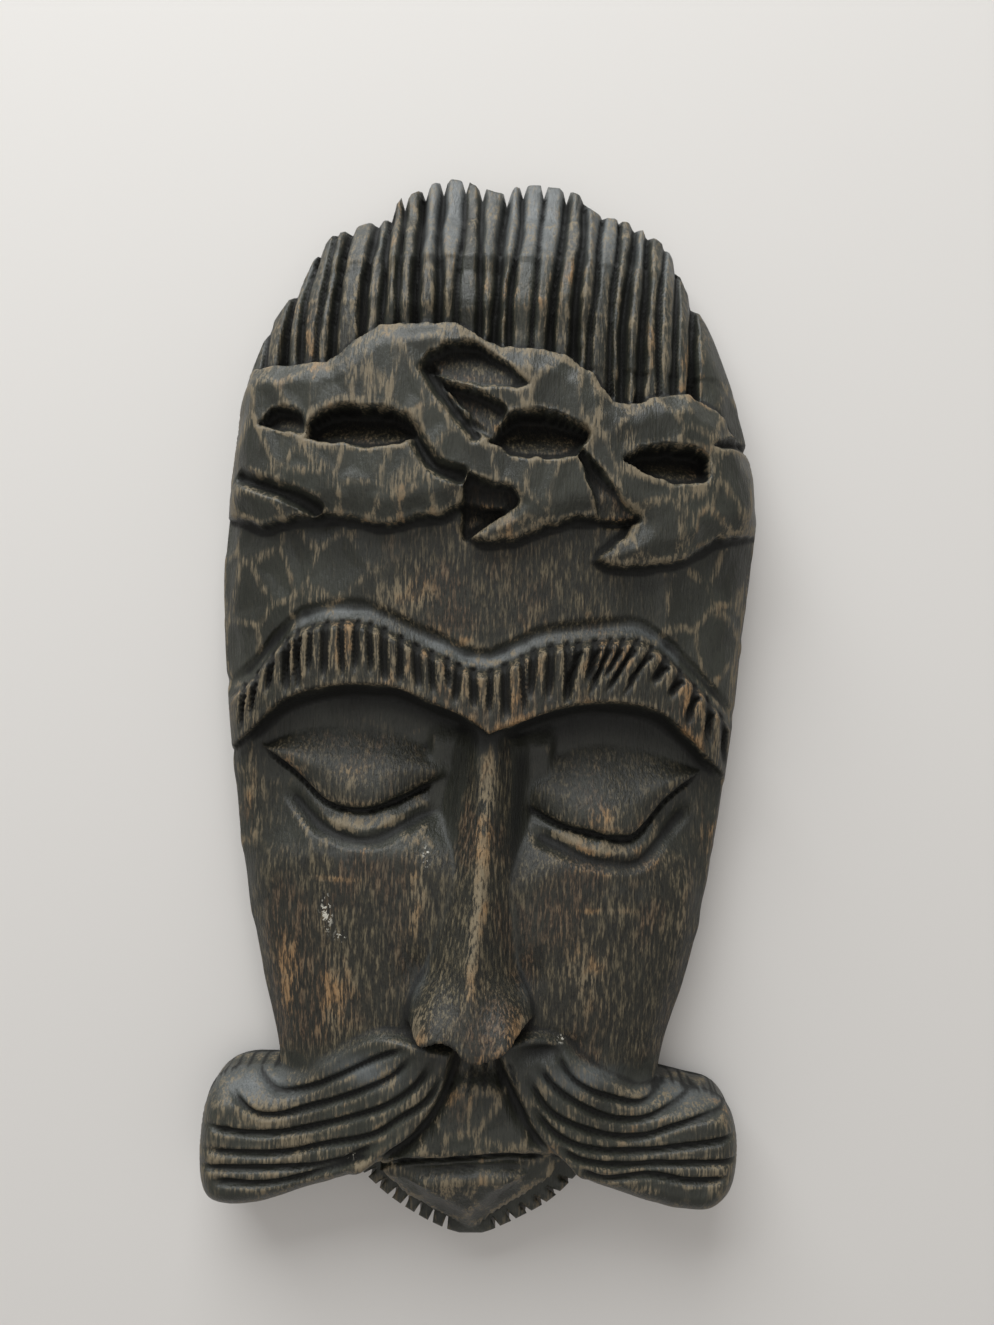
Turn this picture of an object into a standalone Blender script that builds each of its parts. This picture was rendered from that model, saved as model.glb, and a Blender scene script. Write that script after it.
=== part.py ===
"""A carved wooden face mask, lying on its flat back with the face up and the hair towards +Y.

The mask is one piece of wood. A sawn blank has the outline, and its front is carved: each feature
raises or cuts the height of the surface over the back plane. Sizes here are in millimetres, and
become metres when the mesh is made. The free forms keep their places as shares of the mask's
height, through UNIT. What a tool or a plank sets by itself has a size of its own.
"""

import math

import bmesh
import bpy
import numpy as np
from mathutils import Vector
from mathutils.geometry import delaunay_2d_cdt

# Overall sizes
HEIGHT = 300.0
EDGE_THICKNESS = 15.0
FACE_THICKNESS = 34.0
SHOULDER_WIDTH = 7.0
SHOULDER_RISE = 11.0
NOSE_TIP_HEIGHT = 50.0
UNIT = HEIGHT / 300.0

# Hair
HAIR_TOP_THICKNESS = 13.0
TUFT_RISE = 2.5
HAIR_GROOVE_WIDTH = 2.8
HAIR_GROOVE_DEPTH = 4.2
HAIR_GROOVE_VARIATION = 0.35
HAIR_NOTCH_WIDTH = 2.0
HAIR_NOTCH_DEPTH = 3.0

# Twisted headband
BAND_RISE = 8.5
BAND_WALL = 1.3
BAND_ROUNDING = 7.0
STEP_WIDTH = 5.2
STEP_DEPTH = 5.1
HOLLOW_DEPTH = 14.0
RECESS_DEPTH = 7.0
LOW_RIM_SHARE = 0.4

# Brows and eyes
BROW_RISE = 5.0
COVE_WIDTH = 6.0
COVE_DEPTH = 1.6
SLOT_PITCH = 4.0
SLOT_WIDTH = 2.0
SLOT_DEPTH = 2.6
SOCKET_DEPTH = 11.0
SOCKET_REACH = 46.0
LID_RISE = 7.0
LID_CREST_SHARE = 0.35
LID_LINE_WIDTH = 2.2
LID_LINE_DEPTH = 2.4
FOLD_WIDTH = 5.5

# Nose, mouth and chin
BRIDGE_HEIGHT = 31.0
BRIDGE_HALF_WIDTH = 6.5
NOSE_HALF_WIDTH = 20.0
NOSTRIL_OFFSET = 11.5
NOSTRIL_RADIUS = 6.0
NOSTRIL_RISE = 8.0
NOSE_BLEND = 3.0
MOUTH_WIDTH = 3.0
MOUTH_DEPTH = 4.0
LIP_HEIGHT = 35.0
CHIN_HEIGHT = 34.0

# Moustache and the fringe of the beard
MOUSTACHE_HEIGHT = 38.0
WING_HEIGHT = 27.0
WING_BEVEL = 6.0
MOUSTACHE_EDGE = 2.2
LOCK_GROOVE_WIDTH = 2.6
LOCK_GROOVE_DEPTH = 2.6
FRINGE_THICKNESS = 14.0
TOOTH_PITCH = 4.6
TOOTH_GAP = 1.5
TOOTH_DEPTH = 3.4

# Fineness of the mesh
EDGE_STEP = 1.6
SURFACE_STEP = 1.15
CARVED_TRIANGLES = 9400

MM = 0.001
FAR = 1.0e6


def place(points):
    """Points of a free form, scaled with the height of the mask."""
    return np.array(points, dtype=float) * UNIT


def smooth(low, high, value):
    """0 below low, 1 above high, and a soft rise between them."""
    share = np.clip((value - low) / (high - low), 0.0, 1.0)
    return share * share * (3.0 - 2.0 * share)


def curve(points, spacing=EDGE_STEP):
    """A smooth line through the points, cut into even steps of about the given spacing."""
    points = np.asarray(points, dtype=float)
    ends = [2.0 * points[0] - points[1], *points, 2.0 * points[-1] - points[-2]]
    line = []
    for before, start, end, after in zip(ends, ends[1:], ends[2:], ends[3:]):
        count = max(1, math.ceil(np.linalg.norm(end - start) / spacing))
        for t in np.arange(count) / count:
            line.append(
                0.5
                * (
                    2.0 * start
                    + (end - before) * t
                    + (2.0 * before - 5.0 * start + 4.0 * end - after) * t**2
                    + (3.0 * start - before - 3.0 * end + after) * t**3
                )
            )
    line.append(points[-1])
    return np.array(line)


def nearest(x, y, path, reach):
    """Distance to a path, and the share of its length at the nearest point, for points in reach."""
    distance = np.full(x.shape, FAR)
    along = np.zeros(x.shape)
    low = path.min(axis=0) - reach
    high = path.max(axis=0) + reach
    near = np.flatnonzero((x > low[0]) & (x < high[0]) & (y > low[1]) & (y < high[1]))
    if near.size == 0:
        return distance, along
    spans = np.diff(path, axis=0)
    lengths = np.linalg.norm(spans, axis=1)
    starts = np.concatenate([[0.0], np.cumsum(lengths)])
    best = np.full(near.size, FAR)
    where = np.zeros(near.size)
    for start, span, length, run in zip(path, spans, lengths, starts):
        if length == 0.0:
            continue
        dx = x[near] - start[0]
        dy = y[near] - start[1]
        t = np.clip((dx * span[0] + dy * span[1]) / length**2, 0.0, 1.0)
        gap = np.hypot(dx - t * span[0], dy - t * span[1])
        closer = gap < best
        best = np.where(closer, gap, best)
        where = np.where(closer, run + t * length, where)
    distance[near] = best
    along[near] = where / starts[-1]
    return distance, along


def inward(x, y, outline, reach):
    """Distance to the edge of an outline: positive inside, negative outside, for points in reach."""
    ring = np.vstack([outline, outline[:1]])
    distance, _ = nearest(x, y, ring, reach)
    inside = np.zeros(x.shape, dtype=bool)
    for (x0, y0), (x1, y1) in zip(ring, ring[1:]):
        if y0 == y1:
            continue
        crosses = (y0 > y) != (y1 > y)
        inside ^= crosses & (x < x0 + (y - y0) * (x1 - x0) / (y1 - y0))
    return np.where(inside, distance, -distance)


def groove(z, x, y, path, width, depth):
    """Cuts a V-shaped groove that runs out at both its ends."""
    distance, along = nearest(x, y, path, width)
    run_out = smooth(0.0, 0.12, along) * smooth(0.0, 0.12, 1.0 - along)
    return z - depth * run_out * np.clip(1.0 - 2.0 * distance / width, 0.0, 1.0)


# Outline of the body, from its widest place down to the moustache
RIGHT_SIDE = place(
    [
        (75, 65), (76.3, 54), (74, 30), (71.6, 3), (69.2, -18), (66, -43), (60.6, -70), (53.8, -92),
        (51.9, -104),
    ]
)
LEFT_SIDE = place(
    [
        (-71.8, 65), (-73.2, 52), (-73.9, 30), (-72.1, 2), (-69.6, -22), (-66.4, -47), (-61.5, -71),
        (-56, -93), (-54.5, -103),
    ]
)
CROWN_LEFT = place(
    [
        (-71.8, 65), (-69.4, 86), (-63.5, 103.5), (-57.6, 113.6), (-53.5, 119), (-50.3, 126),
        (-45, 132.6), (-37, 136), (-29.3, 137.5),
    ]
)
TUFT_TOP = place(
    [
        (-28.2, 141), (-23, 145.3), (-16.7, 148.4), (-10.3, 149.6), (-2.8, 146.4), (2.6, 145.3),
        (7, 147.7), (13, 148), (20, 147.2), (25.6, 144.5),
    ]
)
CROWN_RIGHT = place(
    [
        (26.6, 141.8), (31.5, 139), (38, 138.4), (44.3, 134.8), (50, 129.6), (54.5, 120.6), (61.9, 107),
        (66.8, 95.7), (71.9, 79.3), (75, 65),
    ]
)
WING_LEFT = place(
    [
        (-54.5, -103), (-66.5, -103.6), (-73.4, -108), (-76.2, -119), (-76, -133.5), (-71.5, -140),
        (-60, -140.3), (-44, -135), (-33, -130.6),
    ]
)
WING_RIGHT = place(
    [
        (51.9, -104), (61, -106), (70, -108.7), (74.2, -117), (73.8, -131), (67.5, -138.6), (57, -139),
        (44, -135.5), (31.5, -130.4),
    ]
)
FRINGE_LEFT = place([(-33, -130.6), (-23.5, -139), (-13, -145.5), (-3, -149.8)])
FRINGE_RIGHT = place([(31.5, -130.4), (23, -139), (13, -145), (3.4, -149.6)])

# Hair grooves: where each starts at the headband and ends at the crown, across the mask
HAIR_FOOT_Y = 98.0 * UNIT
HAIR_END_Y = 149.0 * UNIT
HAIR_GROOVES = place(
    [
        (-63, -60), (-57, -53.5), (-52, -48), (-47.5, -43.5), (-43, -40), (-34.5, -33), (-30, -28.6),
        (-25, -25.4), (-20, -19.8), (-14.2, -14.6), (-9.2, -8.2), (-3, -3.4), (1, 3.6), (5.2, 8.2),
        (10.8, 14.1), (16, 20.6), (22.8, 25.8), (26.6, 31.5), (32.4, 36), (36, 41), (41, 45),
        (46, 49.5), (50.5, 54), (56, 60),
    ]
)

# Headband: its outer edge, the deep lens-shaped hollows, and the shallow recesses between strands
BAND_OUTLINE = place(
    [
        (-68, 92), (-60, 91.6), (-50, 92), (-43.5, 92), (-37, 97), (-29, 101.3), (-17, 102.5),
        (-8.5, 101.8), (-1, 97.8), (3, 95.8), (12, 95.7), (20, 94.2), (27.5, 89.5), (33.5, 82.8),
        (37.2, 81.6), (46, 85), (54, 86.2), (62, 82.5), (69, 75), (80, 66), (80, 50), (63, 46.5),
        (53, 40.7), (42, 38.2), (34, 38.2), (29, 40), (37, 46.5), (40, 51), (34, 50.2), (24.5, 50.5),
        (16, 48), (7, 44.3), (0, 43.8), (-4.4, 44.8), (0.5, 48.5), (5, 52.5), (0, 53), (-6, 54),
        (-11, 50.5), (-18, 50), (-26, 47.3), (-40, 50), (-50, 49.4), (-61, 47), (-68, 49.5), (-80, 52),
        (-80, 85),
    ]
)
HOLLOWS = (
    place([
        (-48.3, 70.5), (-46, 75.5), (-40, 78.2), (-31, 78.4), (-24, 77), (-19, 71.5), (-27, 68.6),
        (-36, 68.8),
    ]),
    place([
        (1, 70), (5, 76), (11, 78), (17, 77.5), (25, 74.5), (26, 71.6), (22, 67.2), (15, 66.3),
        (8, 66.6),
    ]),
    place([
        (36.4, 66.4), (42, 69.4), (48, 70.5), (55, 70.1), (58.8, 67), (58.4, 62.3), (51, 61),
        (44, 62.4),
    ]),
)
RECESSES = (
    place([
        (-17.5, 90), (-14, 93.6), (-8.5, 95.8), (-3, 95.2), (9, 86.4), (9, 84.9), (0, 84.6),
        (-10, 86.2),
    ]),
    place([(-12, 85.4), (-4.8, 83.6), (3.8, 78.4), (0.6, 70.8)]),
    place([(-4.3, 60.8), (1.6, 58.6), (6.6, 57.8), (7.4, 54), (0, 48.3), (-5.5, 45), (-6, 54)]),
    place([(24.5, 68), (30.5, 62), (37.6, 53.5), (40.5, 52), (40, 50.2), (31, 50), (29, 56)]),
    place([(-61.5, 75), (-56, 78.8), (-50.5, 77), (-48.5, 71.5), (-55, 73.4)]),
    place([(60.5, 71.8), (68, 74.5), (78, 74), (78, 71), (68, 71.6)]),
)
BAND_STEPS = (
    place([(-24, 76.4), (-19.5, 71.6), (-16.5, 66.8), (-12.5, 62.6), (-5, 60.4)]),
    place([(-69, 62), (-62, 58.9), (-50, 54.6), (-43.5, 50.6)]),
    place([(-17.6, 91), (-14, 85.8), (-9.8, 79.8), (-5.2, 74.2), (-1.4, 70)]),
)

# Brows, from the outer end to the middle: upper and lower edges
BROW_LEFT_TOP = place(
    [
        (-70, 2), (-63.4, 7), (-57.5, 14), (-50, 20.5), (-42, 22.8), (-34.5, 23.2), (-26.5, 21.2),
        (-18, 17.2), (-10.8, 14.3), (-4.4, 11.3), (2, 10.5),
    ]
)
BROW_LEFT_LOW = place(
    [
        (-70, -14), (-62, -7.5), (-54.8, -0.6), (-44, 3.8), (-31, 5), (-22, 4.1), (-12.5, 0.3),
        (-3.1, -3.7), (2, -7.5),
    ]
)
BROW_RIGHT_TOP = place(
    [
        (70, -4), (64, 2.4), (57.5, 8.5), (50, 15.2), (42.7, 19.6), (36, 20), (24.4, 18.7),
        (14.8, 16.9), (9, 14), (2, 10.5),
    ]
)
BROW_RIGHT_LOW = place(
    [
        (70, -20), (62, -13), (55.4, -6.2), (46.5, 0), (34, 1.8), (23, 0.6), (12.2, -3.5), (6, -5.8),
        (2, -7.5),
    ]
)

# Eyes: the upper edge of each closed lid, the lid line under it and the fold under that
LID_TOP_LEFT = place([(-60.8, -12.6), (-52.5, -8.2), (-44, -6), (-33, -5.8), (-22, -7.8), (-8, -14.5)])
LID_TOP_RIGHT = place([(12, -16.5), (21, -12), (30, -9.4), (38, -9), (47, -11), (61.3, -16.6)])
LID_LINE_LEFT = place([
    (-60.8, -12.6), (-51.2, -19.6), (-42.5, -27), (-33.5, -29), (-24.4, -27), (-8, -19),
])
LID_LINE_RIGHT = place([
    (12, -27), (22, -31.8), (30, -33.8), (40, -35.2), (44.6, -33), (51.6, -25), (61.3, -17),
])
FOLD_LEFT = place([(-55, -23), (-44.6, -33), (-36, -36.5), (-28, -36.5), (-17, -31), (-9, -28)])
FOLD_RIGHT = place([
    (12, -33.5), (20.7, -37), (29, -40.6), (37, -41.8), (44, -41.4), (52, -34), (60, -25),
])

# Nose: the ridge from the bridge to the tip, and the lower edge
NOSE_RIDGE = place([(3.1, -8), (1.4, -36), (0.8, -52), (-0.9, -70), (-1, -89)])
NOSE_FOOT = place(
    [
        (-17.5, -84.5), (-14.3, -87.8), (-9.5, -86), (-5.5, -87), (-1, -91), (3, -90.6), (8.6, -87.8),
        (12.5, -84), (18.3, -82),
    ]
)

# Moustache, lips and chin
MOUSTACHE_LEFT = place(
    [
        (-4, -90), (-15, -88.5), (-25, -87.5), (-33, -91), (-41, -96.5), (-50, -102.5), (-80, -102.5),
        (-80, -143), (-60, -143), (-43, -136), (-32, -130), (-23, -121.5), (-14, -113.5), (-7.5, -103),
    ]
)
MOUSTACHE_RIGHT = place(
    [(4, -89), (15, -86.5), (24, -88.5), (30, -94), (38, -99.5), (50, -104.5), (80, -104), (80, -143),
     (58, -142), (43, -137), (31, -130), (24, -121.5), (16, -113), (10.5, -102)]
)
LOCK_GROOVES = (
    place([(-17, -90.5), (-26, -94.5), (-37, -101), (-47, -106), (-55, -107), (-63, -100.5)]),
    place([
        (-15, -92), (-22, -99), (-32, -104.8), (-42, -109.2), (-52, -112.6), (-60, -112.3),
        (-69, -105.5),
    ]),
    place([
        (-9.5, -92), (-14.5, -99.8), (-21.5, -105.8), (-31.5, -110.8), (-46, -116.2), (-59, -118.2),
        (-76, -116),
    ]),
    place([
        (-6.5, -94), (-11.5, -103.7), (-19, -109.5), (-26.5, -115), (-38.5, -119.2), (-54, -123.4),
        (-76, -123),
    ]),
    place([(-24, -116.5), (-36, -123.6), (-50, -127), (-76, -128)]),
    place([(-25, -119.5), (-38.5, -126.2), (-54, -131.4), (-72, -131.5)]),
    place([(22, -91), (26, -98), (31, -102), (38, -105), (47, -107), (56, -103)]),
    place([
        (16.5, -93), (21.5, -100.2), (28, -105.4), (36, -109.8), (45, -111.4), (54, -109), (66, -103.5),
    ]),
    place([(14, -96), (19.5, -105.5), (27, -111), (37, -115), (47, -116), (58, -112.6), (76, -108)]),
    place([(15, -104), (22, -112.7), (30, -117.4), (40, -119.6), (52, -119.7), (76, -116)]),
    place([(22, -115.5), (29, -120.6), (40, -123.4), (54, -123.6), (76, -123)]),
    place([(28, -122.5), (36, -126.6), (48, -126.6), (60, -128.2), (72, -127.5)]),
)
LIP = place([(-6, -99), (4, -96), (11, -101), (18, -112), (24, -121), (-24, -124.5), (-16, -114)])
MOUTH = place([(-23.5, -125), (-15.7, -122.8), (-2.7, -121.4), (10, -120.2), (21, -121.5)])
CHIN = place(
    [
        (-25, -126.5), (-18.2, -135.2), (-10, -141.8), (-2, -146.4), (0.6, -147.4), (4, -144.8),
        (9.5, -138.8), (16, -132.6), (23, -124), (8, -119), (-12, -121),
    ]
)


def notched(path, places):
    """A path across the mask with a V-shaped notch cut down into it at each place."""
    marks = [np.array([x, np.interp(x, path[:, 0], path[:, 1])]) for x in places]
    kept = [p for p in path if all(abs(p[0] - mark[0]) > 0.7 * HAIR_NOTCH_WIDTH for mark in marks)]
    for mark in marks:
        kept.append(mark + [-0.5 * HAIR_NOTCH_WIDTH, 0.0])
        kept.append(mark - [0.0, HAIR_NOTCH_DEPTH])
        kept.append(mark + [0.5 * HAIR_NOTCH_WIDTH, 0.0])
    return np.array(sorted(kept, key=lambda p: p[0]))


def toothed(path):
    """The beard's fringe: square teeth along a path, parted by narrow gaps."""
    path = curve(path, 0.5)
    steps = np.linalg.norm(np.diff(path, axis=0), axis=1)
    run = np.concatenate([[0.0], np.cumsum(steps)])
    count = max(2, round(run[-1] / TOOTH_PITCH))
    pitch = run[-1] / count

    def at(distance):
        return np.array([np.interp(distance, run, path[:, 0]), np.interp(distance, run, path[:, 1])])

    towards_chin = np.array([0.0, -112.0 * UNIT])
    points = [at(0.0)]
    for index in range(1, count):
        for side, deep in ((-0.5, False), (-0.25, True), (0.25, True), (0.5, False)):
            point = at(index * pitch + side * TOOTH_GAP)
            if deep:
                inner = towards_chin - point
                point = point + TOOTH_DEPTH * inner / np.linalg.norm(inner)
            points.append(point)
    points.append(at(run[-1]))
    return np.array(points)


def outline_of_blank():
    """The closed outline of the mask, clockwise from the left edge of the hair."""
    ends = HAIR_GROOVES[:, 1]
    on_tuft = ends[(ends > TUFT_TOP[0, 0] + 1.0) & (ends < TUFT_TOP[-1, 0] - 1.0)]
    tuft = notched(curve(TUFT_TOP), on_tuft)
    runs = [
        curve(CROWN_LEFT),
        tuft,
        curve(CROWN_RIGHT),
        curve(RIGHT_SIDE),
        curve(WING_RIGHT),
        toothed(FRINGE_RIGHT),
        toothed(FRINGE_LEFT)[::-1],
        curve(WING_LEFT)[::-1],
        curve(LEFT_SIDE)[::-1],
    ]
    points = np.vstack(runs)
    apart = np.linalg.norm(points - np.roll(points, 1, axis=0), axis=1) > 0.15
    return points[apart]


def across_at(rows, side):
    """How far across the mask one side's outline lies, at each row."""
    order = np.argsort(side[:, 1])
    return np.interp(rows, side[order, 1], side[order, 0])


def body_profile(x, y):
    """The plain carved blank: a long dome, thinner at the crown, the edges and the chin."""
    rows = np.linspace(-150.0, 138.0, 120) * UNIT
    left = across_at(rows, np.vstack([LEFT_SIDE[::-1], CROWN_LEFT[1:]]))
    right = across_at(rows, np.vstack([RIGHT_SIDE[::-1], CROWN_RIGHT[::-1][1:]]))
    middle = np.interp(y, rows, 0.5 * (left + right))
    half = np.interp(y, rows, 0.5 * (right - left))
    share = np.clip(np.abs(x - middle) / half, 0.0, 1.0)
    across = (1.0 - share**2.5) ** 0.6
    stations = place([-150, -128, -100, -60, -20, 20, 60, 100, 122, 136, 150])
    spine = np.interp(
        y,
        stations,
        [
            FRINGE_THICKNESS,
            0.86 * FACE_THICKNESS,
            0.92 * FACE_THICKNESS,
            0.94 * FACE_THICKNESS,
            0.92 * FACE_THICKNESS,
            0.98 * FACE_THICKNESS,
            FACE_THICKNESS,
            0.97 * FACE_THICKNESS,
            0.9 * FACE_THICKNESS,
            0.5 * (0.7 * FACE_THICKNESS + HAIR_TOP_THICKNESS),
            HAIR_TOP_THICKNESS,
        ],
    )
    edge = np.minimum(EDGE_THICKNESS, spine)
    return edge + (spine - edge) * across


def carve_hair(z, x, y):
    """Locks of hair between V-shaped grooves, with a taller tuft in the middle."""
    tuft = smooth(-29.0 * UNIT, -27.0 * UNIT, x) * smooth(-29.0 * UNIT, -26.5 * UNIT, -x)
    z = z + TUFT_RISE * tuft * smooth(100.0 * UNIT, 110.0 * UNIT, y)
    sway = smooth(HAIR_FOOT_Y, HAIR_END_Y, y)
    for index, (foot, end) in enumerate(HAIR_GROOVES):
        size = 1.0 + HAIR_GROOVE_VARIATION * math.sin(1.7 * index)
        distance = np.abs(x - foot - (end - foot) * sway)
        cut = np.clip(1.0 - 2.0 * distance / (size * HAIR_GROOVE_WIDTH), 0.0, 1.0)
        depth = np.minimum(size * HAIR_GROOVE_DEPTH, 0.5 * z)
        z = z - depth * cut * smooth(70.0 * UNIT, 78.0 * UNIT, y)
    return z


def carve_headband(z, x, y):
    """The twisted band across the brow and the hair, with lens-shaped hollows between its strands."""
    inside = inward(x, y, BAND_OUTLINE, BAND_ROUNDING)
    inside = np.where(np.abs(inside) > BAND_ROUNDING, np.sign(inside) * BAND_ROUNDING, inside)
    ground = body_profile(x, y)
    crown = BAND_RISE * (0.72 + 0.28 * smooth(0.0, BAND_ROUNDING, inside))
    band = ground + crown
    z = z + (band - z) * smooth(-0.5 * BAND_WALL, 0.5 * BAND_WALL, inside)
    for path in BAND_STEPS:
        z = groove(z, x, y, curve(path), STEP_WIDTH, STEP_DEPTH)
    for outline in RECESSES:
        z = z - RECESS_DEPTH * sunk(x, y, outline)
    for outline in HOLLOWS:
        floor = ground + BAND_RISE - HOLLOW_DEPTH * sunk(x, y, outline)
        z = np.minimum(z, floor)
    return z


def sunk(x, y, outline):
    """The share of its depth that a hollow has: most at its upper wall, least at its lower rim."""
    inside = inward(x, y, closed_curve(outline), BAND_WALL)
    up = smooth(outline[:, 1].min(), outline[:, 1].max(), y)
    wall = smooth(-0.5 * BAND_WALL, 0.5 * BAND_WALL, inside)
    return wall * (LOW_RIM_SHARE + (1.0 - LOW_RIM_SHARE) * up)


def up_at(x, line):
    """How far up the mask a line lies, at each place across it."""
    order = np.argsort(line[:, 0])
    return np.interp(x, line[order, 0], line[order, 1])


def closed_curve(points):
    """A smooth closed outline through the points."""
    return curve(np.vstack([points, points[:1]]))[:-1]


def carve_brows_and_sockets(z, x, y):
    """Brow bands with comb cuts, a cove over them and deep sockets under them."""
    middle = 2.0 * UNIT
    on_left = x < middle
    upper = np.where(on_left, up_at(x, curve(BROW_LEFT_TOP)), up_at(x, curve(BROW_RIGHT_TOP)))
    lower = np.where(on_left, up_at(x, curve(BROW_LEFT_LOW)), up_at(x, curve(BROW_RIGHT_LOW)))
    cove = 1.0 - np.abs((y - upper - 0.5 * COVE_WIDTH) / (0.5 * COVE_WIDTH))
    z = z - COVE_DEPTH * smooth(0.0, 1.0, cove)
    band = smooth(-0.6, 0.8, upper - y) * smooth(-0.4, 0.8, y - lower)
    below = upper - y
    z = z + BROW_RISE * band * smooth(0.0, 3.0 * UNIT, below)
    depth_below = lower - y
    aside = np.abs(x - middle)
    ease = 1.0 - np.clip(aside / (70.0 * UNIT), 0.0, 1.0) ** 3
    hollow = smooth(-0.4, 3.0, depth_below) * smooth(SOCKET_REACH, 0.48 * SOCKET_REACH, depth_below)
    beside_nose = smooth(2.0 * UNIT, 9.0 * UNIT, aside)
    z = z - SOCKET_DEPTH * hollow * ease * beside_nose
    slots = np.arange(round(136.0 * UNIT / SLOT_PITCH)) * SLOT_PITCH - 66.0 * UNIT
    for centre in slots:
        cut = np.clip(1.0 - 2.0 * np.abs(x - centre) / SLOT_WIDTH, 0.0, 1.0)
        share = (upper - y) / np.maximum(upper - lower, 1.0)
        run = smooth(-0.02, 0.08, share) * smooth(0.85, 0.6, share)
        z = z - SLOT_DEPTH * cut * run
    return z


def carve_eyes(z, x, y):
    """Closed lids that swell over their lower edge, each with a cut lid line and a fold under it."""
    for upper, lower in ((LID_TOP_LEFT, LID_LINE_LEFT), (LID_TOP_RIGHT, LID_LINE_RIGHT)):
        high = up_at(x, curve(upper))
        low = up_at(x, curve(lower))
        up = np.clip((y - low) / np.maximum(high - low, 1.0), 0.0, 1.0)
        across = np.clip((x - upper[0, 0]) / (upper[-1, 0] - upper[0, 0]), 0.0, 1.0)
        under = np.sqrt(1.0 - (1.0 - np.minimum(up / LID_CREST_SHARE, 1.0)) ** 2)
        over = smooth(1.0, LID_CREST_SHARE, up)
        z = z + LID_RISE * under * over * np.sqrt(4.0 * across * (1.0 - across))
    for path in (FOLD_LEFT, FOLD_RIGHT):
        z = groove(z, x, y, curve(path), FOLD_WIDTH, LID_LINE_DEPTH)
    for path in (LID_LINE_LEFT, LID_LINE_RIGHT):
        z = groove(z, x, y, curve(path), LID_LINE_WIDTH, LID_LINE_DEPTH)
    return z


def carve_moustache(z, x, y):
    """Two flaring halves that end in broad wings, cut into long locks."""
    for outline, sign in ((MOUSTACHE_LEFT, -1.0), (MOUSTACHE_RIGHT, 1.0)):
        inside = inward(x, y, closed_curve(outline), 8.0 * UNIT)
        reach = np.clip((sign * x - 8.0 * UNIT) / (46.0 * UNIT), 0.0, 1.0)
        top = MOUSTACHE_HEIGHT + (WING_HEIGHT - MOUSTACHE_HEIGHT) * smooth(0.0, 1.0, reach)
        bevel = smooth(-112.0 * UNIT, -102.0 * UNIT, y) * smooth(40.0 * UNIT, 58.0 * UNIT, sign * x)
        z = z + (top - WING_BEVEL * bevel - z) * smooth(-0.6, MOUSTACHE_EDGE, inside)
    for path in LOCK_GROOVES:
        z = groove(z, x, y, curve(path), LOCK_GROOVE_WIDTH, LOCK_GROOVE_DEPTH)
    return z


def carve_mouth_and_chin(z, x, y):
    """The upper lip, the long mouth cut and the spade-shaped chin over the fringe."""
    inside = inward(x, y, closed_curve(LIP), 9.0 * UNIT)
    z = z + (LIP_HEIGHT - z) * smooth(-1.0, 6.0, inside)
    inside = inward(x, y, closed_curve(CHIN), 12.0 * UNIT)
    inside = np.minimum(inside, 12.0 * UNIT)
    below = np.clip((-121.0 * UNIT - y) / (27.0 * UNIT), 0.0, 1.0)
    dome = CHIN_HEIGHT - (CHIN_HEIGHT - FRINGE_THICKNESS - 4.0) * below**1.6
    fringe = (y < -124.0 * UNIT) & (np.abs(x) < 33.0 * UNIT) & (inside < 0.0) & (z < EDGE_THICKNESS + 14.0)
    z = np.where(fringe & (z > FRINGE_THICKNESS), np.minimum(z, FRINGE_THICKNESS + 2.0), z)
    chin = FRINGE_THICKNESS + (dome - FRINGE_THICKNESS) * (0.55 + 0.45 * smooth(0.0, 9.0, inside))
    z = np.where(inside > 0.0, np.maximum(z, chin), z)
    return groove(z, x, y, curve(MOUTH), MOUTH_WIDTH, MOUTH_DEPTH)


def carve_nose(z, x, y):
    """A long wedge that widens and rises to the nostrils, cut off over the upper lip."""
    ridge = curve(NOSE_RIDGE)
    order = np.argsort(ridge[:, 1])
    centre = np.interp(y, ridge[order, 1], ridge[order, 0])
    foot = curve(NOSE_FOOT)
    bottom = np.interp(x, foot[:, 0], foot[:, 1])
    down = np.clip((-8.0 * UNIT - y) / (80.0 * UNIT), 0.0, 1.0)
    height = BRIDGE_HEIGHT + (NOSE_TIP_HEIGHT - BRIDGE_HEIGHT) * down**1.15
    half = BRIDGE_HALF_WIDTH + (NOSE_HALF_WIDTH - BRIDGE_HALF_WIDTH) * down**1.6
    aside = np.abs(x - centre)
    roundness = 1.2 + 0.6 * smooth(0.75, 1.0, down)
    wedge = height - (height - 0.8 * FACE_THICKNESS) * np.minimum(aside / half, 1.6) ** roundness
    nostril = np.exp(-(((aside - NOSTRIL_OFFSET) / NOSTRIL_RADIUS) ** 2)) * smooth(0.76, 0.95, down)
    wedge = wedge + NOSTRIL_RISE * nostril
    wing = NOSTRIL_OFFSET + NOSTRIL_RADIUS
    shown = smooth(-1.2, 0.8, y - bottom) * smooth(-4.0 * UNIT, -12.0 * UNIT, y)
    shown = shown * smooth(wing + 1.0, wing - 2.0, aside)
    blended = 0.5 * (z + wedge + np.sqrt((wedge - z) ** 2 + NOSE_BLEND**2) - NOSE_BLEND)
    return z + np.maximum(blended - z, 0.0) * shown


def round_edge(z, x, y, outline):
    """Rounds the carved front down to the upright side, all along the outline."""
    inside = np.clip(inward(x, y, outline, SHOULDER_WIDTH), 0.0, SHOULDER_WIDTH)
    arc = np.sqrt(1.0 - (1.0 - inside / SHOULDER_WIDTH) ** 2)
    limit = EDGE_THICKNESS + SHOULDER_RISE * arc
    return np.where(inside < SHOULDER_WIDTH, np.minimum(z, limit), z)


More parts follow.
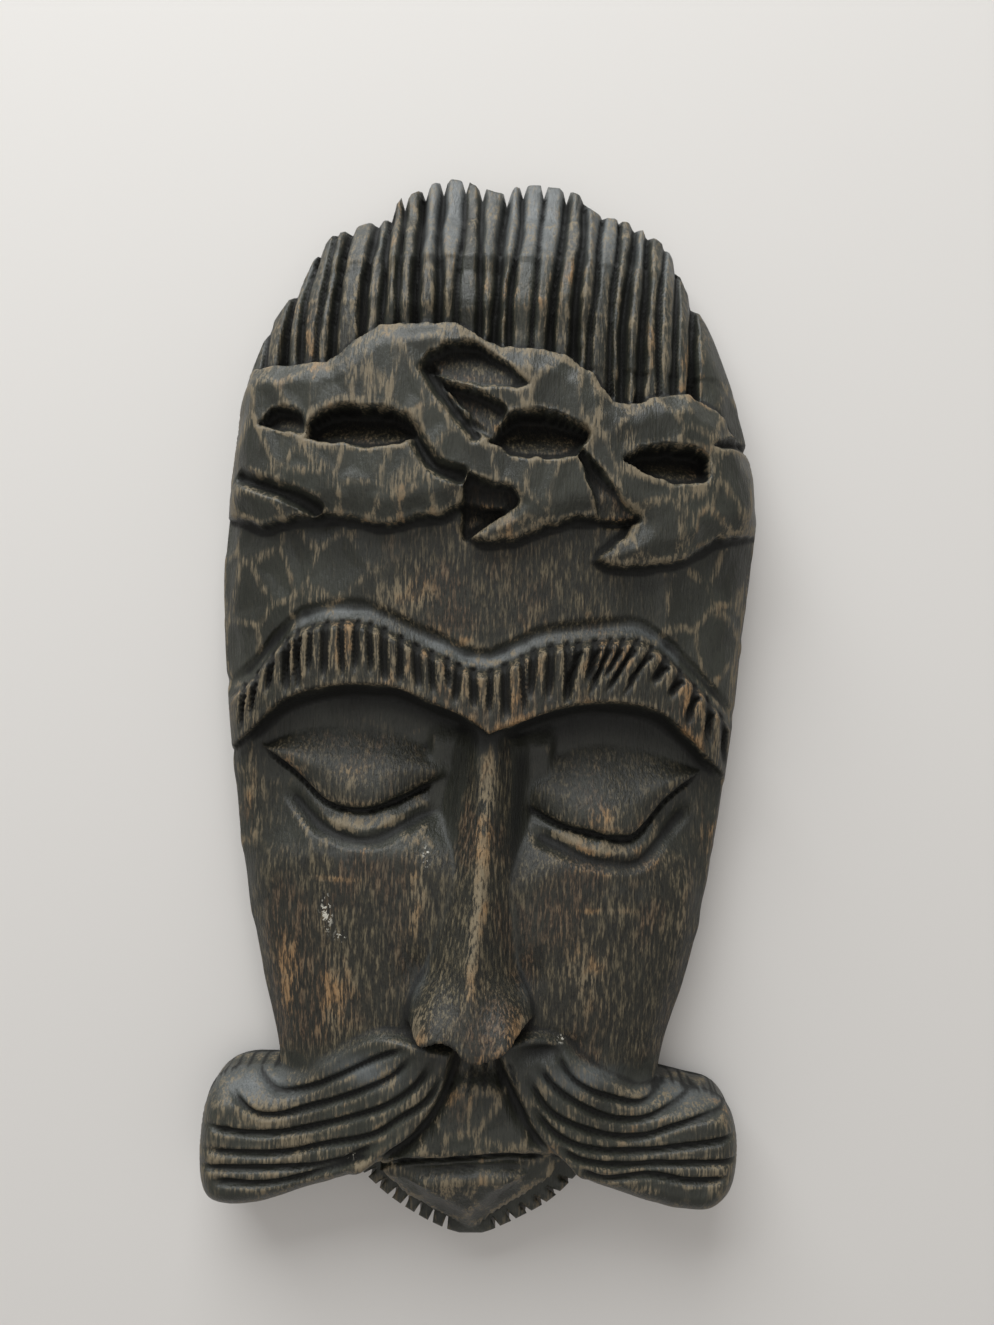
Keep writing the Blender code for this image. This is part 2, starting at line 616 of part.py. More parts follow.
def relief(x, y, outline):
    """Height of the carved front over the back plane."""
    z = body_profile(x, y)
    z = carve_hair(z, x, y)
    z = carve_headband(z, x, y)
    z = carve_brows_and_sockets(z, x, y)
    z = carve_eyes(z, x, y)
    z = carve_moustache(z, x, y)
    z = carve_mouth_and_chin(z, x, y)
    z = carve_nose(z, x, y)
    return round_edge(z, x, y, outline)


def surface_points(outline):
    """Even points inside the outline, in staggered rows."""
    low = outline.min(axis=0)
    high = outline.max(axis=0)
    rows = np.arange(low[1], high[1], SURFACE_STEP * math.sqrt(0.75))
    columns = np.arange(low[0], high[0], SURFACE_STEP)
    x, y = np.meshgrid(columns, rows)
    x[1::2] += 0.5 * SURFACE_STEP
    x = x.ravel()
    y = y.ravel()
    clear = inward(x, y, outline, 2.0 * SURFACE_STEP) > 0.45 * SURFACE_STEP
    return np.stack([x[clear], y[clear]], axis=1)


def carved_blank(name):
    """The blank as a closed mesh: flat back, upright sides and carved front."""
    outline = outline_of_blank()
    points = np.vstack([outline, surface_points(outline)])
    ring = list(range(len(outline)))
    flat, _, triangles, _, _, _ = delaunay_2d_cdt([Vector(p) for p in points.tolist()], [], [ring], 1, 1e-5)
    sheet = bmesh.new()
    corners = [sheet.verts.new((v.x, v.y, 0.0)) for v in flat]
    for triangle in triangles:
        sheet.faces.new([corners[i] for i in triangle])
    raised = bmesh.ops.extrude_face_region(sheet, geom=sheet.faces[:])
    top = [v for v in raised["geom"] if isinstance(v, bmesh.types.BMVert)]
    places = np.array([v.co[:2] for v in top])
    heights = relief(places[:, 0], places[:, 1], outline)
    for vertex, height in zip(top, heights):
        vertex.co.z = height
    low = outline.min(axis=0)
    high = outline.max(axis=0)
    centre = Vector((*(0.5 * (low + high)), 0.0))
    for vertex in sheet.verts:
        vertex.co = (vertex.co - centre) * MM
    bmesh.ops.recalc_face_normals(sheet, faces=sheet.faces[:])
    bmesh.ops.triangulate(sheet, faces=sheet.faces[:])
    mesh = bpy.data.meshes.new(name)
    sheet.to_mesh(mesh)
    sheet.free()
    return mesh


def wood_material():
    """Charcoal-stained wood with a brown cast and a satin surface."""
    material = bpy.data.materials.new("stained_wood")
    material.use_nodes = True
    shader = material.node_tree.nodes["Principled BSDF"]
    shader.inputs["Base Color"].default_value = (0.055, 0.05, 0.04, 1.0)
    shader.inputs["Roughness"].default_value = 0.55
    shader.inputs["Metallic"].default_value = 0.0
    material.diffuse_color = (0.12, 0.11, 0.09, 1.0)
    return material


def make_mask(collection):
    """The one carved piece, thinned to the triangles that its shape needs."""
    mesh = carved_blank("carved_mask")
    mesh.materials.append(wood_material())
    mask = bpy.data.objects.new("carved_mask", mesh)
    collection.objects.link(mask)
    thin = mask.modifiers.new("Thin", "DECIMATE")
    thin.decimate_type = "COLLAPSE"
    thin.ratio = min(1.0, CARVED_TRIANGLES / len(mesh.polygons))
    return mask


def main():
    for item in list(bpy.data.objects):
        bpy.data.objects.remove(item)
    collection = bpy.data.collections.new("tribal_mask")
    bpy.context.scene.collection.children.link(collection)
    make_mask(collection)


main()
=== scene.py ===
"""Looks of the carved wooden mask: fine carving, tool marks and the rubbed charcoal finish.

The mask lies on its back on a pale floor, hair towards +Y. Its surface is one carved height over
the back plane. Each feature of the face is a class that cuts or raises that height and says how
much the stain is rubbed there. Sizes of the carving are in millimetres, and become metres when the
mesh is made. Geometry Nodes then press the gouge's facets into the surface.
"""

from __future__ import annotations

import logging
import math
from dataclasses import dataclass, field
from enum import Enum

import bmesh
import bpy
import numpy as np
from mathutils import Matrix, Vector
from mathutils.geometry import delaunay_2d_cdt


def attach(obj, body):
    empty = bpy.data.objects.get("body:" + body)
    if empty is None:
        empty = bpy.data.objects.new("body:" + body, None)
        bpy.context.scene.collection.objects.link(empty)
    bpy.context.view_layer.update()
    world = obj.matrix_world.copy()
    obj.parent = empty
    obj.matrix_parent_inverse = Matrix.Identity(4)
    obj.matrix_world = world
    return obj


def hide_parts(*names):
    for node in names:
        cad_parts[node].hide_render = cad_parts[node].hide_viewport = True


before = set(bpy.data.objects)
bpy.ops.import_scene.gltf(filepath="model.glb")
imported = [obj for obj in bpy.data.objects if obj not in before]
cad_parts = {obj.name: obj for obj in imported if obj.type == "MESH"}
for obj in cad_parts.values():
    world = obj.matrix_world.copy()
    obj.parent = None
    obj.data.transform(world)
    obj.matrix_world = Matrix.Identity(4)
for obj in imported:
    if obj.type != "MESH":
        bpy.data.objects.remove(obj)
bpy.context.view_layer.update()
LOG = logging.getLogger("mask")

MM = 0.001
FAR = 1.0e6
Array = np.ndarray
Points = tuple[tuple[float, float], ...]
# Values the finish reads; two of them are painted light: painted shade that darkens the colour, and painted
# grey highlights that lighten it.
LAYERS = ("brown", "pale", "painted_shade", "chisel", "dust", "painted_highlight")


def smooth(low: float, high: float, value: Array) -> Array:
    """0 at low, 1 at high, and a soft rise between them."""
    share = np.clip((value - low) / (high - low), 0.0, 1.0)
    return share * share * (3.0 - 2.0 * share)


def curve(points: Points | Array, spacing: float = 0.9) -> Array:
    """Draws a smooth line through points.

    Args:
        points: the places that the line passes, in order.
        spacing: about how far apart its steps are.

    Returns:
        The line's steps, one row each.
    """
    places = np.asarray(points, dtype=float)
    ends = [2.0 * places[0] - places[1], *places, 2.0 * places[-1] - places[-2]]
    line = []
    for before, start, end, after in zip(ends, ends[1:], ends[2:], ends[3:]):
        count = max(1, math.ceil(float(np.linalg.norm(end - start)) / spacing))
        t = (np.arange(count) / count)[:, None]
        line.append(
            0.5
            * (
                2.0 * start
                + (end - before) * t
                + (2.0 * before - 5.0 * start + 4.0 * end - after) * t**2
                + (3.0 * start - before - 3.0 * end + after) * t**3
            )
        )
    line.append(places[-1:])
    return np.vstack(line)


def ring(points: Points | Array, spacing: float = 0.9) -> Array:
    """A smooth closed outline through points."""
    places = np.asarray(points, dtype=float)
    return curve(np.vstack([places, places[:1]]), spacing)[:-1]


def nearest(x: Array, y: Array, path: Array, reach: float) -> tuple[Array, Array]:
    """Measures how points lie to a path.

    Args:
        x: the points' places across the mask.
        y: the points' places up the mask.
        path: the path's steps.
        reach: how far from the path it matters.

    Returns:
        The distance, and the share of the path's length at the nearest place.
    """
    distance = np.full(x.shape, FAR)
    along = np.zeros(x.shape)
    low = path.min(axis=0) - reach
    high = path.max(axis=0) + reach
    near = np.flatnonzero((x > low[0]) & (x < high[0]) & (y > low[1]) & (y < high[1]))
    if near.size == 0:
        return distance, along
    spans = np.diff(path, axis=0)
    lengths = np.linalg.norm(spans, axis=1)
    starts = np.concatenate([[0.0], np.cumsum(lengths)])
    near_x = x[near]
    near_y = y[near]
    best = np.full(near.size, FAR)
    where = np.zeros(near.size)
    for start, span, length, run in zip(path, spans, lengths, starts):
        if length == 0.0:
            continue
        dx = near_x - start[0]
        dy = near_y - start[1]
        t = np.clip((dx * span[0] + dy * span[1]) / length**2, 0.0, 1.0)
        gap = (dx - t * span[0]) ** 2 + (dy - t * span[1]) ** 2
        closer = gap < best
        best[closer] = gap[closer]
        where[closer] = (run + t * length)[closer]
    distance[near] = np.sqrt(best)
    along[near] = where / starts[-1]
    return distance, along


def inward(x: Array, y: Array, outline: Array, reach: float) -> Array:
    """Distance to an outline's edge, positive inside it and negative outside."""
    closed = np.vstack([outline, outline[:1]])
    distance, _ = nearest(x, y, closed, reach)
    low = outline.min(axis=0)
    high = outline.max(axis=0)
    near = np.flatnonzero((x > low[0]) & (x < high[0]) & (y > low[1]) & (y < high[1]))
    inside = np.zeros(near.size, dtype=bool)
    near_x = x[near]
    near_y = y[near]
    for (x0, y0), (x1, y1) in zip(closed, closed[1:]):
        if y0 == y1:
            continue
        crosses = (y0 > near_y) != (y1 > near_y)
        inside ^= crosses & (near_x < x0 + (near_y - y0) * (x1 - x0) / (y1 - y0))
    sign = np.full(x.shape, -1.0)
    sign[near[inside]] = 1.0
    return sign * distance


def across_at(rows: Array, side: Array) -> Array:
    """How far across the mask one side's outline lies, at each row."""
    order = np.argsort(side[:, 1])
    return np.interp(rows, side[order, 1], side[order, 0])


def up_at(x: Array, line: Array) -> Array:
    """How far up the mask a line lies, at each place across it."""
    order = np.argsort(line[:, 0])
    return np.interp(x, line[order, 0], line[order, 1])


def waves(x: Array, y: Array, length: float, seed: int) -> Array:
    """Smooth seeded unevenness between -1 and 1, with waves about as long as length."""
    source = np.random.default_rng(seed)
    total = np.zeros(np.broadcast(x, y).shape)
    count = 9
    for _ in range(count):
        angle = source.uniform(0.0, 2.0 * math.pi)
        pace = 2.0 * math.pi / (length * source.uniform(0.7, 1.6))
        total += np.sin((x * math.cos(angle) + y * math.sin(angle)) * pace + source.uniform(0.0, 6.0))
    return total / math.sqrt(count * 2.0)


@dataclass
class Relief:
    """The carved surface: places on it, its height, how the finish is rubbed there, and where shade and
    highlights are painted.
    """

    x: Array
    y: Array
    outline: Array
    z: Array = field(init=False)
    brown: Array = field(init=False)
    pale: Array = field(init=False)
    painted_shade: Array = field(init=False)
    chisel: Array = field(init=False)
    dust: Array = field(init=False)
    painted_highlight: Array = field(init=False)

    def __post_init__(self) -> None:
        """Starts with a flat, evenly stained surface."""
        for name in ("z", *LAYERS):
            setattr(self, name, np.zeros(self.x.shape))

    def groove(self, path: Array, width: float, depth: float, run_out: float = 0.12) -> None:
        """Cuts a V-shaped groove along a path, with painted shade in it.

        Args:
            path: the groove's line.
            width: its width at the surface.
            depth: its depth in the middle.
            run_out: the share of its length over which each end rises to the surface.
        """
        distance, along = nearest(self.x, self.y, path, 1.5 * width)
        ends = smooth(0.0, run_out, along) * smooth(0.0, run_out, 1.0 - along)
        cut = np.clip(1.0 - 2.0 * distance / width, 0.0, 1.0) * ends
        self.z -= depth * cut
        # Painted shade: the groove is darkened in the colour.
        self.shade_black(smooth(0.3, 0.9, cut))
        lip = np.exp(-(((distance - 0.62 * width) / (0.2 * width)) ** 2)) * ends
        self.wear(0.35 * lip * smooth(-0.4, 0.6, waves(self.x, self.y, 9.0, 17)))

    def wear(self, share: Array) -> None:
        """Rubs the stain off to the pale wood."""
        self.pale = np.maximum(self.pale, share)

    def bare(self, share: Array) -> None:
        """Thins the stain so that the brown wood shows."""
        self.brown = np.maximum(self.brown, share)

    def shade_black(self, share: Array) -> None:
        """Paints shade into a deep place, darkening its colour towards black."""
        self.painted_shade = np.maximum(self.painted_shade, share)

    def paint_highlight(self, share: Array) -> None:
        """Paints a grey highlight onto the stain, lightening its colour."""
        self.painted_highlight = np.maximum(self.painted_highlight, share)

    def powder(self, share: Array) -> None:
        """Leaves specks of pale dust."""
        self.dust = np.maximum(self.dust, share)

    def spot(self, x: float, y: float, wide: float, tall: float) -> Array:
        """A soft oval share round a place."""
        return np.exp(-(((self.x - x) / wide) ** 2) - ((self.y - y) / tall) ** 2)


@dataclass
class Blank:
    """The sawn blank: its outline and the plain dome it is rounded to."""

    edge_thickness: float = 15.0
    face_thickness: float = 34.0
    hair_top_thickness: float = 13.0
    fringe_thickness: float = 14.0
    shoulder_width: float = 7.0
    notch_width: float = 2.0
    notch_depth: float = 3.0
    tooth_pitch: float = 4.6
    tooth_gap: float = 1.5
    tooth_depth: float = 3.4
    edge_step: float = 0.8
    least_step: float = 0.12
    tuft_margin: float = 1.0
    tooth_root: tuple[float, float] = (0.0, -112.0)
    spine: Points = (
        (-128, 0.86), (-100, 0.92), (-60, 0.94), (-20, 0.92), (20, 0.98), (60, 1.0), (100, 0.97),
        (122, 0.9),
    )
    right_side: Points = (
        (75, 65), (76.3, 54), (74, 30), (71.6, 3), (69.2, -18), (66, -43), (60.6, -70), (53.8, -92),
        (51.9, -104),
    )
    left_side: Points = (
        (-71.8, 65), (-73.2, 52), (-73.9, 30), (-72.1, 2), (-69.6, -22), (-66.4, -47), (-61.5, -71),
        (-56, -93), (-54.5, -103),
    )
    crown_left: Points = (
        (-71.8, 65), (-69.4, 86), (-63.5, 103.5), (-57.6, 113.6), (-53.5, 119), (-50.3, 126),
        (-45, 132.6), (-37, 136), (-29.3, 137.5),
    )
    tuft_top: Points = (
        (-28.2, 141), (-23, 145.3), (-16.7, 148.4), (-10.3, 149.6), (-2.8, 146.4), (2.6, 145.3),
        (7, 147.7), (13, 148), (20, 147.2), (25.6, 144.5),
    )
    crown_right: Points = (
        (26.6, 141.8), (31.5, 139), (38, 138.4), (44.3, 134.8), (50, 129.6), (54.5, 120.6),
        (61.9, 107), (66.8, 95.7), (71.9, 79.3), (75, 65),
    )
    wing_left: Points = (
        (-54.5, -103), (-66.5, -103.6), (-73.4, -108), (-76.2, -119), (-76, -133.5), (-71.5, -140),
        (-60, -140.3), (-44, -135), (-33, -130.6),
    )
    wing_right: Points = (
        (51.9, -104), (61, -106), (70, -108.7), (74.2, -117), (73.8, -131), (67.5, -138.6),
        (57, -139), (44, -135.5), (31.5, -130.4),
    )
    fringe_left: Points = ((-33, -130.6), (-23.5, -139), (-13, -145.5), (-3, -149.8))
    fringe_right: Points = ((31.5, -130.4), (23, -139), (13, -145), (3.4, -149.6))

    def notched(self, path: Array, places: Array) -> Array:
        """A path across the mask with a V-shaped notch at each place."""
        marks = [np.array([place, np.interp(place, path[:, 0], path[:, 1])]) for place in places]
        kept = [p for p in path if all(abs(p[0] - mark[0]) > 0.7 * self.notch_width for mark in marks)]
        for mark in marks:
            kept.append(mark + [-0.5 * self.notch_width, 0.0])
            kept.append(mark - [0.0, self.notch_depth])
            kept.append(mark + [0.5 * self.notch_width, 0.0])
        return np.array(sorted(kept, key=lambda p: p[0]))

    def toothed(self, points: Points, lean: float) -> Array:
        """The beard's fringe: teeth along a path, parted by narrow gaps.

        Args:
            points: the path round the teeth's ends.
            lean: how far the gaps' inner ends shift along the path.

        Returns:
            The toothed line.
        """
        path = curve(points, 0.5)
        steps = np.linalg.norm(np.diff(path, axis=0), axis=1)
        run = np.concatenate([[0.0], np.cumsum(steps)])
        count = max(2, round(run[-1] / self.tooth_pitch))
        pitch = run[-1] / count

        def at(distance: float) -> Array:
            return np.array([np.interp(distance, run, path[:, 0]), np.interp(distance, run, path[:, 1])])

        towards = np.array(self.tooth_root)
        gap_shape = ((-0.5, 0.0), (-0.35, 0.6), (-0.2, 1.0), (0.2, 1.0), (0.35, 0.6), (0.5, 0.0))
        line = [at(0.0)]
        for index in range(1, count):
            middle = index * pitch
            for side, deep in gap_shape:
                point = at(middle + side * self.tooth_gap + lean * deep)
                inner = towards - point
                line.append(point + self.tooth_depth * deep * inner / np.linalg.norm(inner))
            for share in (0.3, 0.7):
                spot = middle + 0.5 * self.tooth_gap + share * (pitch - self.tooth_gap)
                line.append(at(min(spot, run[-1])))
        line.append(at(run[-1]))
        return np.array(line)

    def outline(self, hair_ends: Array) -> Array:
        """The closed outline, clockwise from the left edge of the hair.

        Args:
            hair_ends: where the hair grooves reach the crown.

        Returns:
            The outline's points, evenly spaced along its smooth runs.
        """
        step = self.edge_step
        low = self.tuft_top[0][0] + self.tuft_margin
        high = self.tuft_top[-1][0] - self.tuft_margin
        on_tuft = hair_ends[(hair_ends > low) & (hair_ends < high)]
        runs = [
            curve(self.crown_left, step),
            self.notched(curve(self.tuft_top, step), on_tuft),
            curve(self.crown_right, step),
            curve(self.right_side, step),
            curve(self.wing_right, step),
            self.toothed(self.fringe_right, 1.4),
            self.toothed(self.fringe_left, 0.0)[::-1],
            curve(self.wing_left, step)[::-1],
            curve(self.left_side, step)[::-1],
        ]
        points = np.vstack(runs)
        apart = np.linalg.norm(points - np.roll(points, 1, axis=0), axis=1) > self.least_step
        return points[apart]

    def dome(self, x: Array, y: Array) -> Array:
        """Height of the plain blank: a long dome, thinner at the crown, the edges and the chin."""
        rows = np.linspace(-150.0, 138.0, 120)
        left = across_at(rows, np.array([*self.left_side, *self.crown_left[1:]]))
        right = across_at(rows, np.array([*self.right_side, *self.crown_right[:-1]]))
        middle = np.interp(y, rows, 0.5 * (left + right))
        half = np.interp(y, rows, 0.5 * (right - left))
        share = np.clip(np.abs(x - middle) / half, 0.0, 1.0)
        across = (1.0 - share**2.5) ** 0.6
        places, shares = np.array(self.spine).T
        crown = 0.5 * (0.7 * self.face_thickness + self.hair_top_thickness)
        heights = [self.fringe_thickness, *(shares * self.face_thickness), crown, self.hair_top_thickness]
        spine = np.interp(y, [-150.0, *places, 136.0, 150.0], heights)
        edge = np.minimum(self.edge_thickness, spine)
        return edge + (spine - edge) * across

    def carve(self, relief: Relief) -> None:
        """Rounds the blank, stained evenly, with tool marks all over it."""
        relief.z = self.dome(relief.x, relief.y)
        relief.chisel[:] = 1.0

    def round_edge(self, relief: Relief) -> None:
        """Rounds the front down to the upright side, all along the outline."""
        width = self.shoulder_width
        inside = np.clip(inward(relief.x, relief.y, relief.outline, width), 0.0, width)
        arc = np.sqrt(1.0 - (1.0 - inside / width) ** 2)
        over = np.maximum(relief.z - self.edge_thickness, 0.0)
        relief.z -= over * (1.0 - arc)
        relief.pale *= smooth(0.0, width, inside)


@dataclass
class Hair:
    """Combed-up hair: locks between V-shaped grooves, with a taller tuft in the middle."""

    groove_width: float = 2.8
    groove_depth: float = 4.2
    groove_variation: float = 0.35
    tuft_rise: float = 2.5
    lock_unevenness: float = 0.7
    bend_sharpness: float = 0.10
    bend_slopes: tuple[float, float, float] = (0.10, -0.16, 0.22)
    seed: int = 5
    foot_y: float = 98.0
    end_y: float = 149.0
    grooves: Points = (
        (-63, -60), (-57, -53.5), (-52, -48), (-47.5, -43.5), (-43, -40), (-34.5, -33), (-30, -28.6),
        (-25, -25.4), (-20, -19.8), (-14.2, -14.6), (-9.2, -8.2), (-3, -3.4), (1, 3.6), (5.2, 8.2),
        (10.8, 14.1), (16, 20.6), (22.8, 25.8), (26.6, 31.5), (32.4, 36), (36, 41), (41, 45),
        (46, 49.5), (50.5, 54), (56, 60),
    )

    def ends(self) -> Array:
        """Where the grooves reach the crown, across the mask."""
        return np.array(self.grooves)[:, 1]

    def carve(self, relief: Relief) -> None:
        """Cuts the locks, each a little higher or lower than its neighbours."""
        x, y = relief.x, relief.y
        here = smooth(70.0, 78.0, y)
        tuft = smooth(-29.0, -27.0, x) * smooth(-29.0, -26.5, -x)
        relief.z += self.tuft_rise * tuft * smooth(100.0, 110.0, y)
        sway = smooth(self.foot_y, self.end_y, y)
        foot, end = np.array(self.grooves).T
        lines = foot[:, None] + (end - foot)[:, None] * sway[None, :]
        lock = (x[None, :] > lines).sum(axis=0)
        source = np.random.default_rng(self.seed)
        count = len(foot) + 1
        lift, lean, tint = source.uniform(-1.0, 1.0, (3, count))
        relief.z += here * self.lock_unevenness * lift[lock]
        edges = np.vstack([lines[:1] - 7.0, lines, lines[-1:] + 7.0])
        low = np.take_along_axis(edges, lock[None, :], axis=0)[0]
        high = np.take_along_axis(edges, lock[None, :] + 1, axis=0)[0]
        across = np.clip((x - low) / np.maximum(high - low, 1.0), 0.0, 1.0) - 0.5
        relief.z += here * (1.5 * lean[lock] * across - 1.2 * across**2)
        self.bend(relief, lock, here, source.uniform(0.0, 1.0, (3, count)))
        relief.chisel = np.where(y > 92.0, 0.25, relief.chisel)
        # Painted highlight: the upper hair, which leans back towards the light, is lightened grey on the
        # higher locks.
        relief.paint_highlight(here * smooth(112.0, 132.0, y) * smooth(0.0, 0.8, lift[lock] + 0.5))
        relief.bare(here * smooth(0.1, 0.9, tint[lock]) * smooth(124.0, 104.0, y) * 0.6)
        wander = 0.5 * waves(0.0 * x, y, 24.0, 3)
        for index, (start, stop) in enumerate(self.grooves):
            size = 1.0 + self.groove_variation * math.sin(1.7 * index)
            line = start + (stop - start) * sway + wander * math.sin(index * 2.3)
            width = self.groove_width * size * (1.0 + 0.2 * waves(0.0 * x, y, 9.0, 40 + index))
            distance = np.abs(x - line)
            cut = np.clip(1.0 - 2.0 * distance / width, 0.0, 1.0) * here
            relief.z -= np.minimum(self.groove_depth * size, 0.5 * relief.z) * cut
            # Painted shade in each groove between the locks.
            relief.shade_black(smooth(0.25, 0.8, cut))
            lip = np.exp(-(((distance - 0.65 * width) / (0.2 * width)) ** 2)) * here
            relief.wear(0.4 * lip * smooth(128.0, 110.0, y) * max(tint[index], 0.0))

    def bend(self, relief: Relief, lock: Array, here: Array, places: Array) -> None:
        """Breaks each lock into flat facets that lean back one after another.

        Args:
            relief: the carved surface.
            lock: the number of the lock at each point.
            here: the share of hair at each point.
            places: three random shares for each lock, which place its bends.
        """
        y = relief.y
        starts = (104.0 + 8.0 * places[0], 117.0 + 8.0 * places[1], 130.0 + 7.0 * places[2])
        for start, slope in zip(starts, self.bend_slopes):
            relief.z -= here * slope * np.maximum(y - start[lock], 0.0)
            crest = np.exp(-(((y - start[lock]) / 0.9) ** 2)) * here * np.sign(slope)
            relief.z += self.bend_sharpness * crest
            relief.wear(0.35 * np.maximum(crest, 0.0))


@dataclass
class Headband:
    """The twisted band, with deep lens-shaped hollows between its strands."""

    rise: float = 8.5
    wall: float = 1.3
    rounding: float = 7.0
    step_width: float = 5.2
    step_depth: float = 5.1
    hollow_depth: float = 14.0
    recess_depth: float = 7.0
    low_rim_share: float = 0.4
    rubbed: Points = ((27.0, 72.0), (37.0, 72.0), (-28.0, 84.0), (1.0, 84.0))
    outline: Points = (
        (-68, 92), (-60, 91.6), (-50, 92), (-43.5, 92), (-37, 97), (-29, 101.3), (-17, 102.5),
        (-8.5, 101.8), (-1, 97.8), (3, 95.8), (12, 95.7), (20, 94.2), (27.5, 89.5), (33.5, 82.8),
        (37.2, 81.6), (46, 85), (54, 86.2), (62, 82.5), (69, 75), (80, 66), (80, 50), (63, 46.5),
        (53, 40.7), (42, 38.2), (34, 38.2), (29, 40), (37, 46.5), (40, 51), (34, 50.2), (24.5, 50.5),
        (16, 48), (7, 44.3), (0, 43.8), (-4.4, 44.8), (0.5, 48.5), (5, 52.5), (0, 53), (-6, 54),
        (-11, 50.5), (-18, 50), (-26, 47.3), (-40, 50), (-50, 49.4), (-61, 47), (-68, 49.5),
        (-80, 52), (-80, 85),
    )
    hollows: tuple[Points, ...] = (
        (
            (-48.3, 70.5), (-46, 75.5), (-40, 78.2), (-31, 78.4), (-24, 77), (-19, 71.5), (-27, 68.6),
            (-36, 68.8),
        ),
        ((1, 70), (5, 76), (11, 78), (17, 77.5), (25, 74.5), (26, 71.6), (22, 67.2), (15, 66.3), (8, 66.6)),
        ((36.4, 66.4), (42, 69.4), (48, 70.5), (55, 70.1), (58.8, 67), (58.4, 62.3), (51, 61), (44, 62.4)),
    )
    recesses: tuple[Points, ...] = (
        ((-17.5, 90), (-14, 93.6), (-8.5, 95.8), (-3, 95.2), (9, 86.4), (9, 84.9), (0, 84.6), (-10, 86.2)),
        ((-12, 85.4), (-4.8, 83.6), (3.8, 78.4), (0.6, 70.8)),
        ((-4.3, 60.8), (1.6, 58.6), (6.6, 57.8), (7.4, 54), (0, 48.3), (-5.5, 45), (-6, 54)),
        ((24.5, 68), (30.5, 62), (37.6, 53.5), (40.5, 52), (40, 50.2), (31, 50), (29, 56)),
        ((-61.5, 75), (-56, 78.8), (-50.5, 77), (-48.5, 71.5), (-55, 73.4)),
        ((60.5, 71.8), (68, 74.5), (78, 74), (78, 71), (68, 71.6)),
    )
    steps: tuple[Points, ...] = (
        ((-24, 76.4), (-19.5, 71.6), (-16.5, 66.8), (-12.5, 62.6), (-5, 60.4)),
        ((-69, 62), (-62, 58.9), (-50, 54.6), (-43.5, 50.6)),
        ((-17.6, 91), (-14, 85.8), (-9.8, 79.8), (-5.2, 74.2), (-1.4, 70)),
    )

    def carve(self, relief: Relief, blank: Blank) -> None:
        """Raises the band over the blank and cuts its hollows, recesses and steps."""
        x, y = relief.x, relief.y
        rough = 0.35 * waves(x, y, 5.0, 11)
        inside = inward(x, y, np.array(self.outline), self.rounding)
        inside = np.clip(inside, -self.rounding, self.rounding) + rough
        ground = blank.dome(x, y)
        crown = self.rise * (0.72 + 0.28 * smooth(0.0, self.rounding, inside))
        share = smooth(-0.5 * self.wall, 0.5 * self.wall, inside)
        relief.z += (ground + crown - relief.z) * share
        for layer in (relief.painted_shade, relief.pale, relief.brown):
            layer *= 1.0 - share
        relief.chisel += (1.0 - relief.chisel) * share
        relief.wear(0.75 * np.exp(-(((inside - 1.0) / 0.8) ** 2)) * smooth(-0.6, 0.5, waves(x, y, 11.0, 12)))
        # Painted shadow along the ground just outside the band's edge.
        under = smooth(-2.0, -0.2, inside) * (inside < 0.0)
        relief.shade_black(0.9 * under)
        for path in self.steps:
            relief.groove(curve(path), self.step_width, self.step_depth, 0.08)
        for outline in self.recesses:
            share, depth = self.sunk(relief, outline, rough)
            relief.z -= self.recess_depth * share
            self.shade(relief, depth, outline)
        for outline in self.hollows:
            share, depth = self.sunk(relief, outline, rough)
            relief.z = np.minimum(relief.z, ground + self.rise - self.hollow_depth * share)
            self.shade(relief, depth, outline)
        for place_x, place_y in self.rubbed:
            relief.wear(0.8 * relief.spot(place_x, place_y, 3.0, 4.0))

    def sunk(self, relief: Relief, outline: Points, rough: Array) -> tuple[Array, Array]:
        """How deep a hollow is: most at its upper wall, least at its lower rim.

        Args:
            relief: the carved surface.
            outline: the hollow's points.
            rough: the unevenness of its edge.

        Returns:
            The share of its depth, and the distance inside its edge.
        """
        inside = inward(relief.x, relief.y, ring(outline), 6.0) + rough
        rows = np.array(outline)[:, 1]
        wall = smooth(-0.5 * self.wall, 0.5 * self.wall, inside)
        up = smooth(rows.min(), rows.max(), relief.y)
        return wall * (self.low_rim_share + (1.0 - self.low_rim_share) * up), inside

    def shade(self, relief: Relief, inside: Array, outline: Points) -> None:
        """Rubs the lower rim of a hollow, bares its floor and paints shade and shadow at its upper wall."""
        rows = np.array(outline)[:, 1]
        up = smooth(rows.min(), rows.max(), relief.y)
        relief.wear(0.95 * np.exp(-(((inside + 0.8) / 0.7) ** 2)) * (1.0 - 0.85 * up))
        within = smooth(0.0, 1.5, inside)
        relief.bare(within)
        # Painted shade, heavier towards the upper wall, and a painted shadow line under the upper edge.
        relief.shade_black(within * (0.15 + 0.85 * smooth(0.35, 0.95, up)))
        relief.shade_black(0.8 * np.exp(-(((inside - 0.7) / 0.6) ** 2)) * smooth(0.1, 0.5, up))
        relief.chisel *= 1.0 - within


